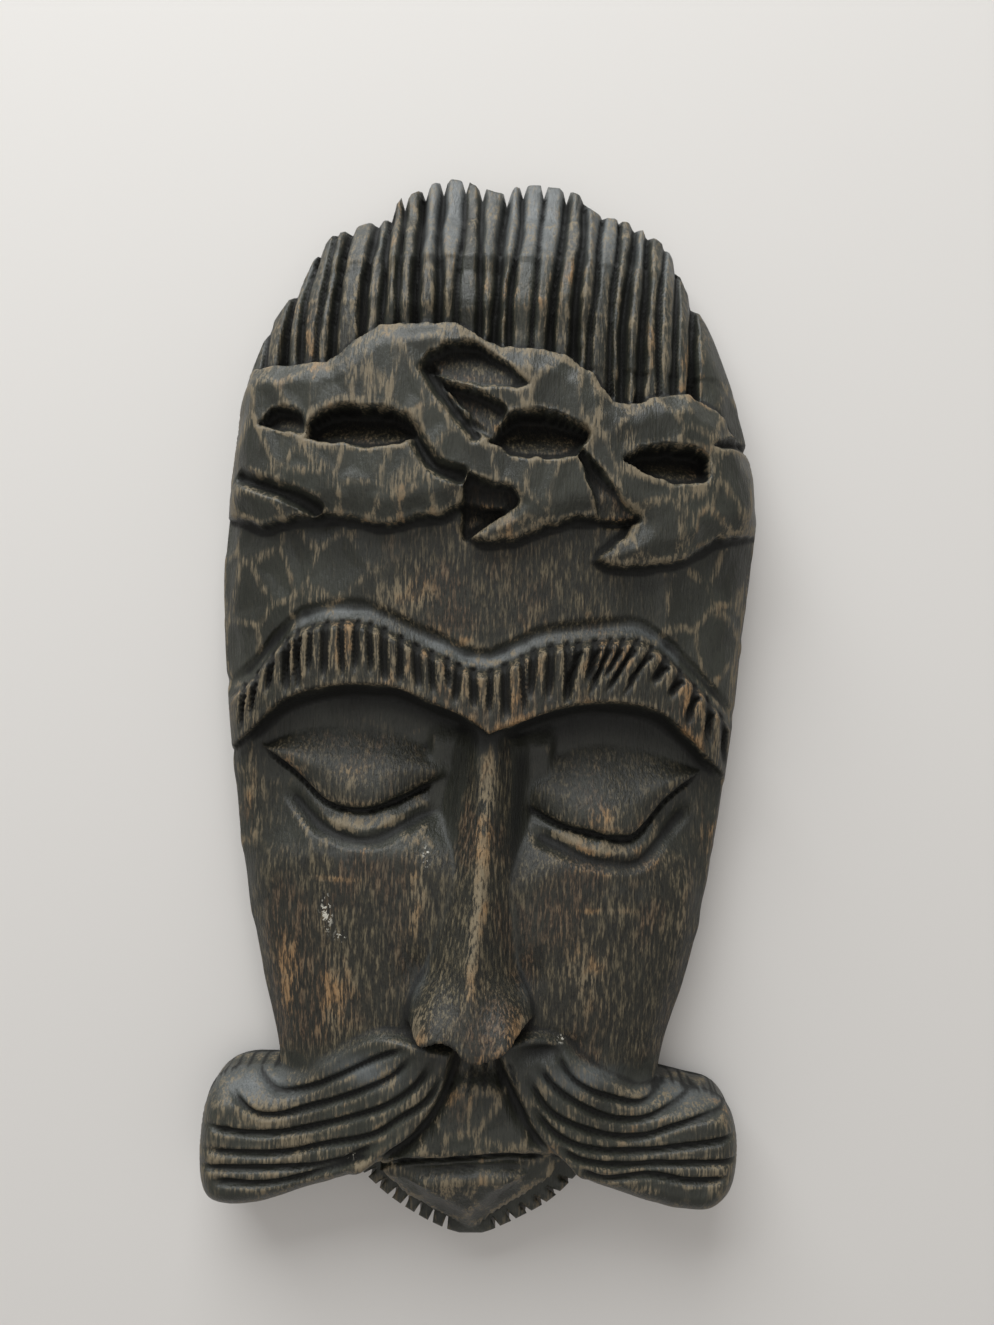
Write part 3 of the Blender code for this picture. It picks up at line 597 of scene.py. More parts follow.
@dataclass
class Brows:
    """Two brow bands with comb cuts, a cove over them and deep sockets under them."""

    rise: float = 5.0
    cove_width: float = 6.0
    cove_depth: float = 1.6
    slot_pitch: float = 4.0
    slot_width: float = 2.0
    slot_depth: float = 2.6
    socket_depth: float = 11.0
    comb_start: float = -66.0
    comb_span: float = 136.0
    seed: int = 21
    middle: float = 2.0
    left_top: Points = (
        (-70, 2), (-63.4, 7), (-57.5, 14), (-50, 20.5), (-42, 22.8), (-34.5, 23.2), (-26.5, 21.2),
        (-18, 17.2), (-10.8, 14.3), (-4.4, 11.3), (2, 10.5),
    )
    left_low: Points = (
        (-70, -14), (-62, -7.5), (-54.8, -0.6), (-44, 3.8), (-31, 5), (-22, 4.1), (-12.5, 0.3),
        (-3.1, -3.7), (2, -7.5),
    )
    right_top: Points = (
        (70, -4), (64, 2.4), (57.5, 8.5), (50, 15.2), (42.7, 19.6), (36, 20), (24.4, 18.7),
        (14.8, 16.9), (9, 14), (2, 10.5),
    )
    right_low: Points = (
        (70, -20), (62, -13), (55.4, -6.2), (46.5, 0), (34, 1.8), (23, 0.6), (12.2, -3.5),
        (6, -5.8), (2, -7.5),
    )

    def edges(self, x: Array) -> tuple[Array, Array]:
        """The upper and lower edge of the brows, at each place across the mask."""
        on_left = x < self.middle
        upper = np.where(on_left, up_at(x, curve(self.left_top)), up_at(x, curve(self.right_top)))
        lower = np.where(on_left, up_at(x, curve(self.left_low)), up_at(x, curve(self.right_low)))
        return upper, lower

    def carve(self, relief: Relief) -> None:
        """Raises the bands, hollows the sockets and cuts the combed hairs."""
        x, y = relief.x, relief.y
        upper, lower = self.edges(x)
        cove = 1.0 - np.abs((y - upper - 0.5 * self.cove_width) / (0.5 * self.cove_width))
        relief.z -= self.cove_depth * smooth(0.0, 1.0, cove)
        band = smooth(-0.6, 0.8, upper - y) * smooth(-0.4, 0.8, y - lower)
        relief.z += self.rise * band * smooth(0.0, 3.0, upper - y)
        below = lower - y
        aside = np.abs(x - self.middle)
        on_right = x > self.middle
        ease = 1.0 - np.clip(aside / 70.0, 0.0, 1.0) ** 3
        hollow = smooth(-0.4, 3.0, below) * smooth(46.0, 22.0, below)
        relief.z -= self.socket_depth * hollow * ease * smooth(2.0, 9.0, aside)
        relief.chisel *= 1.0 - band
        # Painted shade in the sockets under the brows, reaching further down on the right.
        shaded = np.where(on_right, 15.0, 11.0)
        relief.shade_black(0.95 * smooth(-0.5, 1.0, below) * smooth(1.0, 0.25, below / shaded) * ease)
        relief.wear(0.35 * np.exp(-(((y - lower - 0.9) / 0.8) ** 2)) * (aside < 60.0))
        relief.bare(0.65 * band)
        relief.chisel *= 1.0 - 0.5 * hollow
        # Painted highlight along the cove over the brows.
        cove_light = np.exp(-(((y - upper - 2.2) / 1.5) ** 2)) * (aside < 52.0)
        relief.paint_highlight(0.8 * cove_light)
        relief.wear(0.3 * np.exp(-(((y - upper - self.cove_width - 0.6) / 0.9) ** 2)) * (aside < 56.0))
        self.comb(relief, upper, lower)

    def comb(self, relief: Relief, upper: Array, lower: Array) -> None:
        """Cuts the slots of the brows from their upper edge down, and finer strokes at the ends."""
        x, y = relief.x, relief.y
        share = (upper - y) / np.maximum(upper - lower, 1.0)
        source = np.random.default_rng(self.seed)
        count = round(self.comb_span / self.slot_pitch)
        for index in range(count):
            centre = self.comb_start + index * self.slot_pitch + source.uniform(-0.6, 0.6)
            lean = source.uniform(-0.1, 0.1)
            if centre > 20.0:
                lean += 0.6 * math.exp(-(((centre - 42.0) / 13.0) ** 2))
            length = source.uniform(0.5, 0.85)
            width = self.slot_width * source.uniform(0.7, 1.3)
            self.stroke(relief, centre + lean * (y - upper), width, share, length)
            if centre > 24.0 or centre < -50.0:
                extra = centre + 0.5 * self.slot_pitch + (lean + 0.25) * (y - upper)
                self.stroke(relief, extra, 0.5 * width, share - 0.15, 0.6 * length)
        top = np.exp(-(((share - 0.05) / 0.05) ** 2))
        relief.wear(0.35 * top * (waves(x, y, 7.0, 31) > 0.0))

    def stroke(self, relief: Relief, line: Array, width: float, share: Array, length: float) -> None:
        """Cuts one stroke of the comb, with a rubbed edge on each side.

        Args:
            relief: the carved surface.
            line: the stroke's place across the mask, at each point's row.
            width: its width.
            share: how far down the brow each point lies.
            length: how far down the brow the stroke runs.
        """
        distance = np.abs(relief.x - line)
        taper = smooth(0.0, 0.07, share) * smooth(length + 0.15, length - 0.15, share)
        cut = np.clip(1.2 - 2.0 * distance / width, 0.0, 1.0) * taper
        relief.z -= self.slot_depth * cut
        # Painted shade in each slot.
        relief.shade_black(smooth(0.05, 0.55, cut))
        lip = np.exp(-(((distance - 0.85 * width) / (0.4 * width)) ** 2))
        relief.wear(0.6 * lip * smooth(0.02, 0.12, share) * smooth(length + 0.2, length - 0.2, share))


@dataclass
class Eyes:
    """Closed lids as low domes, each with a cut lid line and a fold under it."""

    lid_rise: float = 7.0
    crest_share: float = 0.35
    line_width: float = 2.2
    line_depth: float = 2.4
    fold_width: float = 5.5
    rubbed: Points = ((-38.0, -32.5), (-26.0, -32.0), (33.0, -38.0), (24.0, -35.0))
    top_left: Points = (
        (-60.8, -12.6), (-52.5, -8.2), (-44, -6), (-33, -5.8), (-22, -7.8), (-8, -14.5),
    )
    top_right: Points = ((12, -16.5), (21, -12), (30, -9.4), (38, -9), (47, -11), (61.3, -16.6))
    line_left: Points = (
        (-60.8, -12.6), (-51.2, -19.6), (-42.5, -27), (-33.5, -29), (-24.4, -27), (-8, -19),
    )
    line_right: Points = (
        (12, -27), (22, -31.8), (30, -33.8), (40, -35.2), (44.6, -33), (51.6, -25), (61.3, -17),
    )
    fold_left: Points = ((-55, -23), (-44.6, -33), (-36, -36.5), (-28, -36.5), (-17, -31), (-9, -28))
    fold_right: Points = (
        (12, -33.5), (20.7, -37), (29, -40.6), (37, -41.8), (44, -41.4), (52, -34), (60, -25),
    )

    def carve(self, relief: Relief) -> None:
        """Raises the lids and cuts their lines."""
        x, y = relief.x, relief.y
        pairs = ((self.top_left, self.line_left), (self.top_right, self.line_right))
        for upper, lower in pairs:
            high = up_at(x, curve(upper))
            low = up_at(x, curve(lower))
            up = np.clip((y - low) / np.maximum(high - low, 1.0), 0.0, 1.0)
            across = np.clip((x - upper[0][0]) / (upper[-1][0] - upper[0][0]), 0.0, 1.0)
            under = np.sqrt(1.0 - (1.0 - np.minimum(up / self.crest_share, 1.0)) ** 2)
            over = smooth(1.0, self.crest_share, up)
            middle = np.sqrt(4.0 * across * (1.0 - across))
            relief.z += self.lid_rise * under * over * middle
            lid = smooth(0.0, 0.1, up) * smooth(1.0, 0.85, up) * (middle > 0.0)
            relief.chisel *= 1.0 - 0.6 * lid
            relief.bare(0.55 * lid * smooth(0.2, 0.6, middle))
        for path in (self.fold_left, self.fold_right):
            relief.groove(curve(path), self.fold_width, self.line_depth)
        for path in (self.line_left, self.line_right):
            relief.groove(curve(path), self.line_width, self.line_depth)
        for place_x, place_y in self.rubbed:
            relief.wear(1.5 * relief.spot(place_x, place_y, 8.0, 1.8))
        relief.wear(0.6 * relief.spot(-36.0, -20.0, 7.0, 4.0) + 0.5 * relief.spot(34.0, -30.0, 8.0, 4.0))


@dataclass
class Nose:
    """A long wedge that widens and rises to the nostrils, cut off over the upper lip."""

    tip_height: float = 50.0
    bridge_height: float = 31.0
    flank_height: float = 27.2
    bridge_half_width: float = 6.5
    half_width: float = 20.0
    nostril_offset: float = 11.5
    nostril_radius: float = 6.0
    nostril_rise: float = 8.0
    blend: float = 3.0
    chip_depth: float = 3.2
    dip_depth: float = 1.8
    top_y: float = -8.0
    length: float = 80.0
    ridge: Points = ((3.1, -8), (1.4, -36), (0.8, -52), (-0.9, -70), (-1, -89))
    foot: Points = (
        (-17.5, -84.5), (-14.3, -87.8), (-9.5, -86), (-5.5, -87), (-1, -91), (3, -90.6), (8.6, -87.8),
        (12.5, -84), (18.3, -82),
    )

    def carve(self, relief: Relief) -> None:
        """Raises the nose over the cheeks."""
        x, y = relief.x, relief.y
        ridge = curve(self.ridge)
        order = np.argsort(ridge[:, 1])
        centre = np.interp(y, ridge[order, 1], ridge[order, 0])
        bottom = up_at(x, curve(self.foot))
        down = np.clip((self.top_y - y) / self.length, 0.0, 1.0)
        height = self.bridge_height + (self.tip_height - self.bridge_height) * down**1.15
        half = self.bridge_half_width + (self.half_width - self.bridge_half_width) * down**1.6
        aside = np.abs(x - centre)
        roundness = 1.2 + 0.6 * smooth(0.75, 1.0, down)
        wedge = height - (height - self.flank_height) * np.minimum(aside / half, 1.6) ** roundness
        nostril = np.exp(-(((aside - self.nostril_offset) / self.nostril_radius) ** 2))
        wedge += self.nostril_rise * nostril * smooth(0.76, 0.95, down)
        wing = self.nostril_offset + self.nostril_radius
        shown = smooth(-1.2, 0.8, y - bottom) * smooth(-4.0, -12.0, y) * smooth(wing + 1.0, wing - 2.0, aside)
        gap = wedge - relief.z
        blended = 0.5 * (relief.z + wedge + np.sqrt(gap**2 + self.blend**2) - self.blend)
        relief.z += np.maximum(blended - relief.z, 0.0) * shown
        risen = shown * smooth(-2.0, 1.0, gap)
        for layer in (relief.painted_shade, relief.pale, relief.brown, relief.chisel):
            layer *= 1.0 - risen
        on_ridge = np.exp(-((aside / 1.5) ** 2)) * shown * smooth(-84.0, -50.0, y)
        relief.wear(3.0 * on_ridge)
        for side in (-1.0, 1.0):
            # A dip over each nostril, with a painted highlight in it.
            dip = relief.spot(centre + side * 15.0, -72.0, 4.5, 5.5)
            relief.z -= self.dip_depth * dip
            relief.paint_highlight(dip)
            # Painted shadow down each side of the bridge, heavier on the right.
            flank_shadow = np.exp(-(((aside - 8.5) / 2.4) ** 2)) * (side * (x - centre) > 0.0)
            relief.shade_black((0.55 + 0.2 * side) * flank_shadow * smooth(-8.0, -16.0, y) * smooth(-62.0, -40.0, y))
        relief.bare(0.9 * risen * smooth(1.1, 0.6, aside / half))
        relief.wear(1.8 * relief.spot(-15.0, -85.0, 1.6, 5.0) + 1.4 * relief.spot(13.0, -83.0, 1.8, 3.0))
        # Painted shade under the foot of the nose.
        below = smooth(1.0, -1.0, y - bottom) * smooth(-5.0, -1.5, y - bottom) * smooth(18.0, 14.0, aside)
        relief.shade_black(below * smooth(2.0, 5.0, aside))
        chipped = relief.spot(18.5, -91.0, 7.5, 2.5)
        relief.z -= self.chip_depth * chipped
        # Painted shade in the chip.
        relief.shade_black(chipped)
        relief.wear(0.9 * (relief.spot(21.0, -89.2, 1.6, 0.8) + relief.spot(14.5, -91.8, 1.2, 0.7)))
        relief.powder(0.8 * relief.spot(23.5, -88.8, 1.2, 0.9))


@dataclass
class Moustache:
    """Two flaring halves that end in broad wings, cut into long locks."""

    stains: tuple[tuple[float, float, float, float], ...] = (
        (-70.0, -126.0, 3.5, 4.0), (-28.0, -123.0, 4.5, 1.6), (67.0, -127.0, 3.0, 5.0),
        (53.0, -107.0, 4.0, 2.0), (49.0, -131.0, 3.0, 1.5), (-58.0, -114.0, 8.0, 4.0),
        (-48.0, -121.0, 7.0, 3.0), (-22.0, -99.0, 3.0, 3.0),
    )
    root_height: float = 38.0
    wing_height: float = 27.0
    wing_bevel: float = 6.0
    edge: float = 2.2
    groove_width: float = 2.6
    groove_depth: float = 2.6
    left: Points = (
        (-4, -90), (-15, -88.5), (-25, -87.5), (-33, -91), (-41, -96.5), (-50, -102.5), (-80, -102.5),
        (-80, -143), (-60, -143), (-43, -136), (-32, -130), (-23, -121.5), (-14, -113.5), (-7.5, -103),
    )
    right: Points = (
        (4, -89), (15, -86.5), (24, -88.5), (30, -94), (38, -99.5), (50, -104.5), (80, -104),
        (80, -143), (58, -142), (43, -137), (31, -130), (24, -121.5), (16, -113), (10.5, -102),
    )
    locks: tuple[Points, ...] = (
        ((-17, -90.5), (-26, -94.5), (-37, -101), (-47, -106), (-55, -107), (-63, -100.5)),
        ((-15, -92), (-22, -99), (-32, -104.8), (-42, -109.2), (-52, -112.6), (-60, -112.3), (-69, -105.5)),
        (
            (-9.5, -92), (-14.5, -99.8), (-21.5, -105.8), (-31.5, -110.8), (-46, -116.2), (-59, -118.2),
            (-76, -116),
        ),
        (
            (-6.5, -94), (-11.5, -103.7), (-19, -109.5), (-26.5, -115), (-38.5, -119.2), (-54, -123.4),
            (-76, -123),
        ),
        ((-24, -116.5), (-36, -123.6), (-50, -127), (-76, -128)),
        ((-25, -119.5), (-38.5, -126.2), (-54, -131.4), (-72, -131.5)),
        ((22, -91), (26, -98), (31, -102), (38, -105), (47, -107), (56, -103)),
        ((16.5, -93), (21.5, -100.2), (28, -105.4), (36, -109.8), (45, -111.4), (54, -109), (66, -103.5)),
        ((14, -96), (19.5, -105.5), (27, -111), (37, -115), (47, -116), (58, -112.6), (76, -108)),
        ((15, -104), (22, -112.7), (30, -117.4), (40, -119.6), (52, -119.7), (76, -116)),
        ((22, -115.5), (29, -120.6), (40, -123.4), (54, -123.6), (76, -123)),
        ((28, -122.5), (36, -126.6), (48, -126.6), (60, -128.2), (72, -127.5)),
    )

    def carve(self, relief: Relief) -> None:
        """Raises both halves and cuts their locks."""
        x, y = relief.x, relief.y
        for outline, sign in ((self.left, -1.0), (self.right, 1.0)):
            inside = inward(x, y, ring(outline), 8.0)
            reach = np.clip((sign * x - 8.0) / 46.0, 0.0, 1.0)
            top = self.root_height + (self.wing_height - self.root_height) * smooth(0.0, 1.0, reach)
            bevel = smooth(-112.0, -102.0, y) * smooth(40.0, 58.0, sign * x)
            share = smooth(-0.6, self.edge, inside)
            relief.z += (top - self.wing_bevel * bevel - relief.z) * share
            relief.chisel *= 1.0 - 0.75 * share
            for layer in (relief.painted_shade, relief.pale, relief.brown):
                layer *= 1.0 - share
        for path in self.locks:
            relief.groove(curve(path), self.groove_width, self.groove_depth)
        for place_x, place_y, wide, tall in self.stains:
            relief.wear(1.3 * relief.spot(place_x, place_y, wide, tall))
        # Painted highlights on the tops of the wings and beside the nose.
        for side in (-1.0, 1.0):
            for place, wide in ((60.0, 12.0), (29.0, 9.0)):
                relief.paint_highlight(relief.spot(side * place, -91.0 - 0.25 * place, wide, 3.6))


@dataclass
class Mouth:
    """The upper lip, the long mouth cut and the spade-shaped chin over the fringe."""

    lip_height: float = 35.0
    chin_height: float = 34.0
    fringe_thickness: float = 14.0
    line_width: float = 3.0
    line_depth: float = 4.0
    lip: Points = ((-6, -99), (4, -96), (11, -101), (18, -112), (24, -121), (-24, -124.5), (-16, -114))
    line: Points = ((-23.5, -125), (-15.7, -122.8), (-2.7, -121.4), (10, -120.2), (21, -121.5))
    strokes: tuple[Points, ...] = (
        ((-3.5, -93), (-7, -104)), ((0, -94), (-1.5, -106)), ((3.5, -93), (3, -104)), ((6.5, -92), (8, -103)),
        ((9, -92), (12, -101)),
    )
    chin: Points = (
        (-25, -126.5), (-18.2, -135.2), (-10, -141.8), (-2, -146.4), (0.6, -147.4), (4, -144.8),
        (9.5, -138.8), (16, -132.6), (23, -124), (8, -119), (-12, -121),
    )

    def carve(self, relief: Relief) -> None:
        """Models the lip and the chin, and cuts the mouth between them."""
        x, y = relief.x, relief.y
        inside = inward(x, y, ring(self.lip), 9.0)
        share = smooth(-1.0, 6.0, inside)
        relief.z += (self.lip_height - relief.z) * share
        inside = np.minimum(inward(x, y, ring(self.chin), 12.0), 12.0)
        below = np.clip((-121.0 - y) / 27.0, 0.0, 1.0)
        low = self.fringe_thickness
        dome = self.chin_height - (self.chin_height - low - 4.0) * below**1.6
        fringe = (y < -124.0) & (np.abs(x) < 33.0) & (inside < 0.0) & (relief.z < 29.0)
        relief.z = np.where(fringe & (relief.z > low), np.minimum(relief.z, low + 2.0), relief.z)
        relief.chisel = np.where(fringe, 0.0, np.where(inside > 0.0, 0.7, relief.chisel))
        chin = low + (dome - low) * (0.55 + 0.45 * smooth(0.0, 9.0, inside))
        relief.z = np.where(inside > 0.0, np.maximum(relief.z, chin), relief.z)
        relief.wear(1.1 * np.exp(-(((inside - 0.9) / 0.7) ** 2)) * (y < -128.0))
        relief.groove(curve(self.line), self.line_width, self.line_depth)
        for start, end in self.strokes:
            relief.groove(curve((start, end)), 1.5, 1.1, 0.3)
        relief.bare(0.5 * relief.spot(-6.0, -132.0, 7.0, 8.0) + 0.5 * relief.spot(-4.0, -108.0, 9.0, 8.0))
        relief.wear(0.5 * relief.spot(-6.0, -133.0, 1.5, 7.0) + 0.4 * relief.spot(0.0, -135.0, 0.9, 9.0))


@dataclass
class ForeheadAndCheeks:
    """The plain skin: where the stain is rubbed through to the brown wood."""

    streaks: tuple[tuple[float, float, float, float], ...] = (
        (-65.0, -25.0, 3.0, 12.0), (-16.0, -49.0, 2.5, 12.0), (-52.0, -75.0, 4.0, 14.0),
        (-38.0, -80.0, 5.0, 12.0), (30.0, -72.0, 6.0, 9.0), (-20.0, 30.0, 8.0, 5.0), (58.0, -60.0, 3.0, 14.0),
    )
    dusty: tuple[tuple[float, float, float, float], ...] = (
        (-41.0, -57.0, 1.8, 5.0), (-37.0, -63.0, 1.5, 2.0), (-14.0, -41.0, 1.0, 3.0),
        (-33.0, -122.0, 2.2, 1.0), (6.0, -119.0, 1.2, 0.8),
    )

    def carve(self, relief: Relief) -> None:
        """Rubs the middle of the forehead and the cheeks."""
        x, y = relief.x, relief.y
        forehead = smooth(48.0, 20.0, np.abs(x - 4.0)) * smooth(14.0, 24.0, y) * smooth(54.0, 40.0, y)
        cheeks = smooth(70.0, 56.0, np.abs(x)) * smooth(-34.0, -44.0, y) * smooth(-102.0, -94.0, y)
        relief.bare(0.8 * forehead + 0.85 * cheeks)
        relief.bare(0.6 * relief.spot(-62.0, -28.0, 9.0, 16.0) + 0.6 * relief.spot(62.0, -34.0, 8.0, 14.0))
        relief.chisel *= 1.0 - 0.85 * np.maximum(forehead, cheeks)
        for place_x, place_y, wide, tall in self.streaks:
            relief.wear(0.9 * relief.spot(place_x, place_y, wide, tall))
        # A painted grey highlight on a facet under each eye, with a rubbed rim under it.
        for place_x, place_y in ((-40.0, -42.5), (35.0, -49.5)):
            relief.paint_highlight(0.8 * relief.spot(place_x, place_y, 10.0, 2.8))
            relief.wear(0.8 * relief.spot(place_x, place_y - 5.0, 9.0, 1.0))
        for place_x, place_y, wide, tall in self.dusty:
            relief.powder(relief.spot(place_x, place_y, wide, tall))


class Signal:
    """One output in a node tree, which arithmetic extends with Math nodes."""

    def __init__(self, tree: Tree, socket: bpy.types.NodeSocket) -> None:
        """Wraps a socket of a tree."""
        self.tree = tree
        self.socket = socket

    def math(self, operation: str, other: Signal | float, swap: bool = False) -> Signal:
        """This signal and another one through a Math node."""
        pair = (other, self) if swap else (self, other)
        return self.tree.node("ShaderNodeMath", {"operation": operation}, {0: pair[0], 1: pair[1]})

    def __add__(self, other: Signal | float) -> Signal:
        """Their sum."""
        return self.math("ADD", other)

    __radd__ = __add__

    def __mul__(self, other: Signal | float) -> Signal:
        """Their product."""
        return self.math("MULTIPLY", other)

    __rmul__ = __mul__

    def __sub__(self, other: Signal | float) -> Signal:
        """This one less the other."""
        return self.math("SUBTRACT", other)

    def __rsub__(self, other: Signal | float) -> Signal:
        """The other less this one."""
        return self.math("SUBTRACT", other, swap=True)

    def __truediv__(self, other: Signal | float) -> Signal:
        """This one divided by the other."""
        return self.math("DIVIDE", other)

    def __rtruediv__(self, other: Signal | float) -> Signal:
        """The other divided by this one."""
        return self.math("DIVIDE", other, swap=True)

    def rise(self, low: float, high: float) -> Signal:
        """0 at low, 1 at high, and a soft rise between them."""
        sockets = {"Value": self, "From Min": low, "From Max": high}
        return self.tree.node("ShaderNodeMapRange", {"interpolation_type": "SMOOTHSTEP"}, sockets)


class Tree:
    """A node tree that is written as expressions."""

    def __init__(self, tree: bpy.types.NodeTree) -> None:
        """Wraps an empty tree."""
        self.tree = tree

    def node(self, kind: str, settings: dict, inputs: dict, output: int | str = 0) -> Signal:
        """Adds a node.

        Args:
            kind: the node's type.
            settings: its properties, which are set before its sockets.
            inputs: a value or a signal for each socket, by name or number.
            output: the socket that is passed on.

        Returns:
            The node's output.
        """
        made = self.tree.nodes.new(kind)
        for name, value in settings.items():
            setattr(made, name, value)
        for name, value in inputs.items():
            if isinstance(value, Signal):
                self.tree.links.new(value.socket, made.inputs[name])
            else:
                made.inputs[name].default_value = value
        return Signal(self, made.outputs[output])

    def attribute(self, name: str) -> Signal:
        """A value that the mesh carries."""
        return self.node("ShaderNodeAttribute", {"attribute_name": name}, {}, "Fac")

    def mix(self, share: Signal | float, first: Signal | tuple, second: Signal | tuple) -> Signal:
        """A colour between two colours."""
        return self.node("ShaderNodeMix", {"data_type": "RGBA"}, {0: share, 6: first, 7: second}, 2)

    def noise(
        self, place: Signal, stretch: tuple[float, float, float], detail: float, rough: float = 0.5
    ) -> Signal:
        """Noise over the surface, with its own scale along each axis, in waves per metre."""
        scaled = self.node("ShaderNodeMapping", {}, {"Vector": place, "Scale": stretch})
        sockets = {"Vector": scaled, "Scale": 1.0, "Detail": detail, "Roughness": rough}
        return self.node("ShaderNodeTexNoise", {}, sockets)


@dataclass(frozen=True)
class StainedWood:
    """Charcoal stain on brown wood, rubbed to tan on the ridges and waxed satin; painted shade blackens the
    cuts and hollows, and painted grey highlights lighten some faces.
    """

    name: str = "stained_wood"
    charcoal: tuple[float, float, float, float] = (0.0165, 0.0172, 0.0122, 1.0)
    slate: tuple[float, float, float, float] = (0.0290, 0.0305, 0.0228, 1.0)
    # The grey of the painted highlights.
    highlight_grey: tuple[float, float, float, float] = (0.0980, 0.1060, 0.1060, 1.0)
    russet: tuple[float, float, float, float] = (0.082, 0.051, 0.028, 1.0)
    # The near-black of the painted shade, which the wood's pores take too.
    shade_black: tuple[float, float, float, float] = (0.0035, 0.0036, 0.0028, 1.0)
    umber: tuple[float, float, float, float] = (0.074, 0.061, 0.035, 1.0)
    sepia: tuple[float, float, float, float] = (0.0155, 0.0145, 0.0095, 1.0)
    straw: tuple[float, float, float, float] = (0.175, 0.140, 0.088, 1.0)
    ochre: tuple[float, float, float, float] = (0.290, 0.170, 0.075, 1.0)
    dust: tuple[float, float, float, float] = (0.42, 0.40, 0.34, 1.0)

    def build(self) -> bpy.types.Material:
        """Builds the material.

        Returns:
            The material, which reads the mesh's own values and its Object coordinates.
        """
        material = bpy.data.materials.new(self.name)
        material.use_nodes = True
        tree = Tree(material.node_tree)
        shader = material.node_tree.nodes["Principled BSDF"]
        place = tree.node("ShaderNodeTexCoord", {}, {}, "Object")
        patches = tree.noise(place, (60.0, 40.0, 60.0), 3.0)
        spread = tree.noise(place, (150.0, 90.0, 150.0), 3.0, 0.6)
        streaks = tree.noise(place, (1250.0, 175.0, 900.0), 3.0, 0.62)
        fibres = tree.noise(place, (2100.0, 380.0, 1500.0), 2.0)
        crumbs = tree.noise(place, (900.0, 700.0, 900.0), 3.0, 0.65)
        brown = tree.attribute("brown")
        pale = tree.attribute("pale")
        ridge = tree.attribute("ridge")
        painted_shade = tree.attribute("painted_shade")
        convex = tree.attribute("convex")
        stain = tree.mix(patches.rise(0.35, 0.65), self.charcoal, self.slate)
        # Painted grey highlights lighten the stain, unevenly.
        stain = tree.mix(tree.attribute("painted_highlight") * (0.3 + spread * 1.1), stain, self.highlight_grey)
        grain = streaks.rise(0.44, 0.62)
        tint = tree.mix(patches.rise(0.45, 0.62), self.umber, self.russet)
        bare = tree.mix(grain * (0.35 + spread), self.sepia, tint)
        colour = tree.mix((brown * (0.3 + spread * 1.2)).rise(0.15, 0.85), stain, bare)
        worn = (pale + ridge * 0.8 + convex * 0.5) * (grain * 0.9 + spread * 1.6 - 0.5)
        worn = worn - painted_shade * 1.2
        tan = tree.mix((patches * 0.5 + spread * 0.4 + brown * 0.12).rise(0.50, 0.64), self.straw, self.ochre)
        colour = tree.mix(worn.rise(0.1, 1.0) * 0.85, colour, tan)
        flecks = streaks.rise(0.53, 0.64) * fibres.rise(0.42, 0.58) * (0.10 + brown * 0.8) * (spread * 1.6)
        colour = tree.mix(flecks * 0.6, colour, self.straw)
        # The wood's pores, in the same near-black as the painted shade.
        pores = (1.0 - fibres.rise(0.38, 0.46)) * (0.3 + brown * 0.6)
        colour = tree.mix(pores * 0.85, colour, self.shade_black)
        # Painted shade blackens the colour in deep places.
        colour = tree.mix(painted_shade.rise(0.05, 0.85) * 0.9, colour, self.shade_black)
        specks = (tree.attribute("dust") * crumbs.rise(0.52, 0.60)).rise(0.1, 0.7)
        colour = tree.mix(specks, colour, self.dust)
        tree.tree.links.new(colour.socket, shader.inputs["Base Color"])
        rough = 0.38 + worn.rise(0.2, 1.0) * 0.2 + painted_shade * 0.3 + brown * 0.15 + crumbs * 0.12
        tree.tree.links.new(rough.socket, shader.inputs["Roughness"])
        shader.inputs["Specular IOR Level"].default_value = 0.38
        height = streaks * 0.5 + fibres * 0.4 * (0.3 + brown) + crumbs * 0.3
        bump = tree.node("ShaderNodeBump", {}, {"Strength": 0.6, "Distance": 0.0008, "Height": height})
        tree.tree.links.new(bump.socket, shader.inputs["Normal"])
        return material


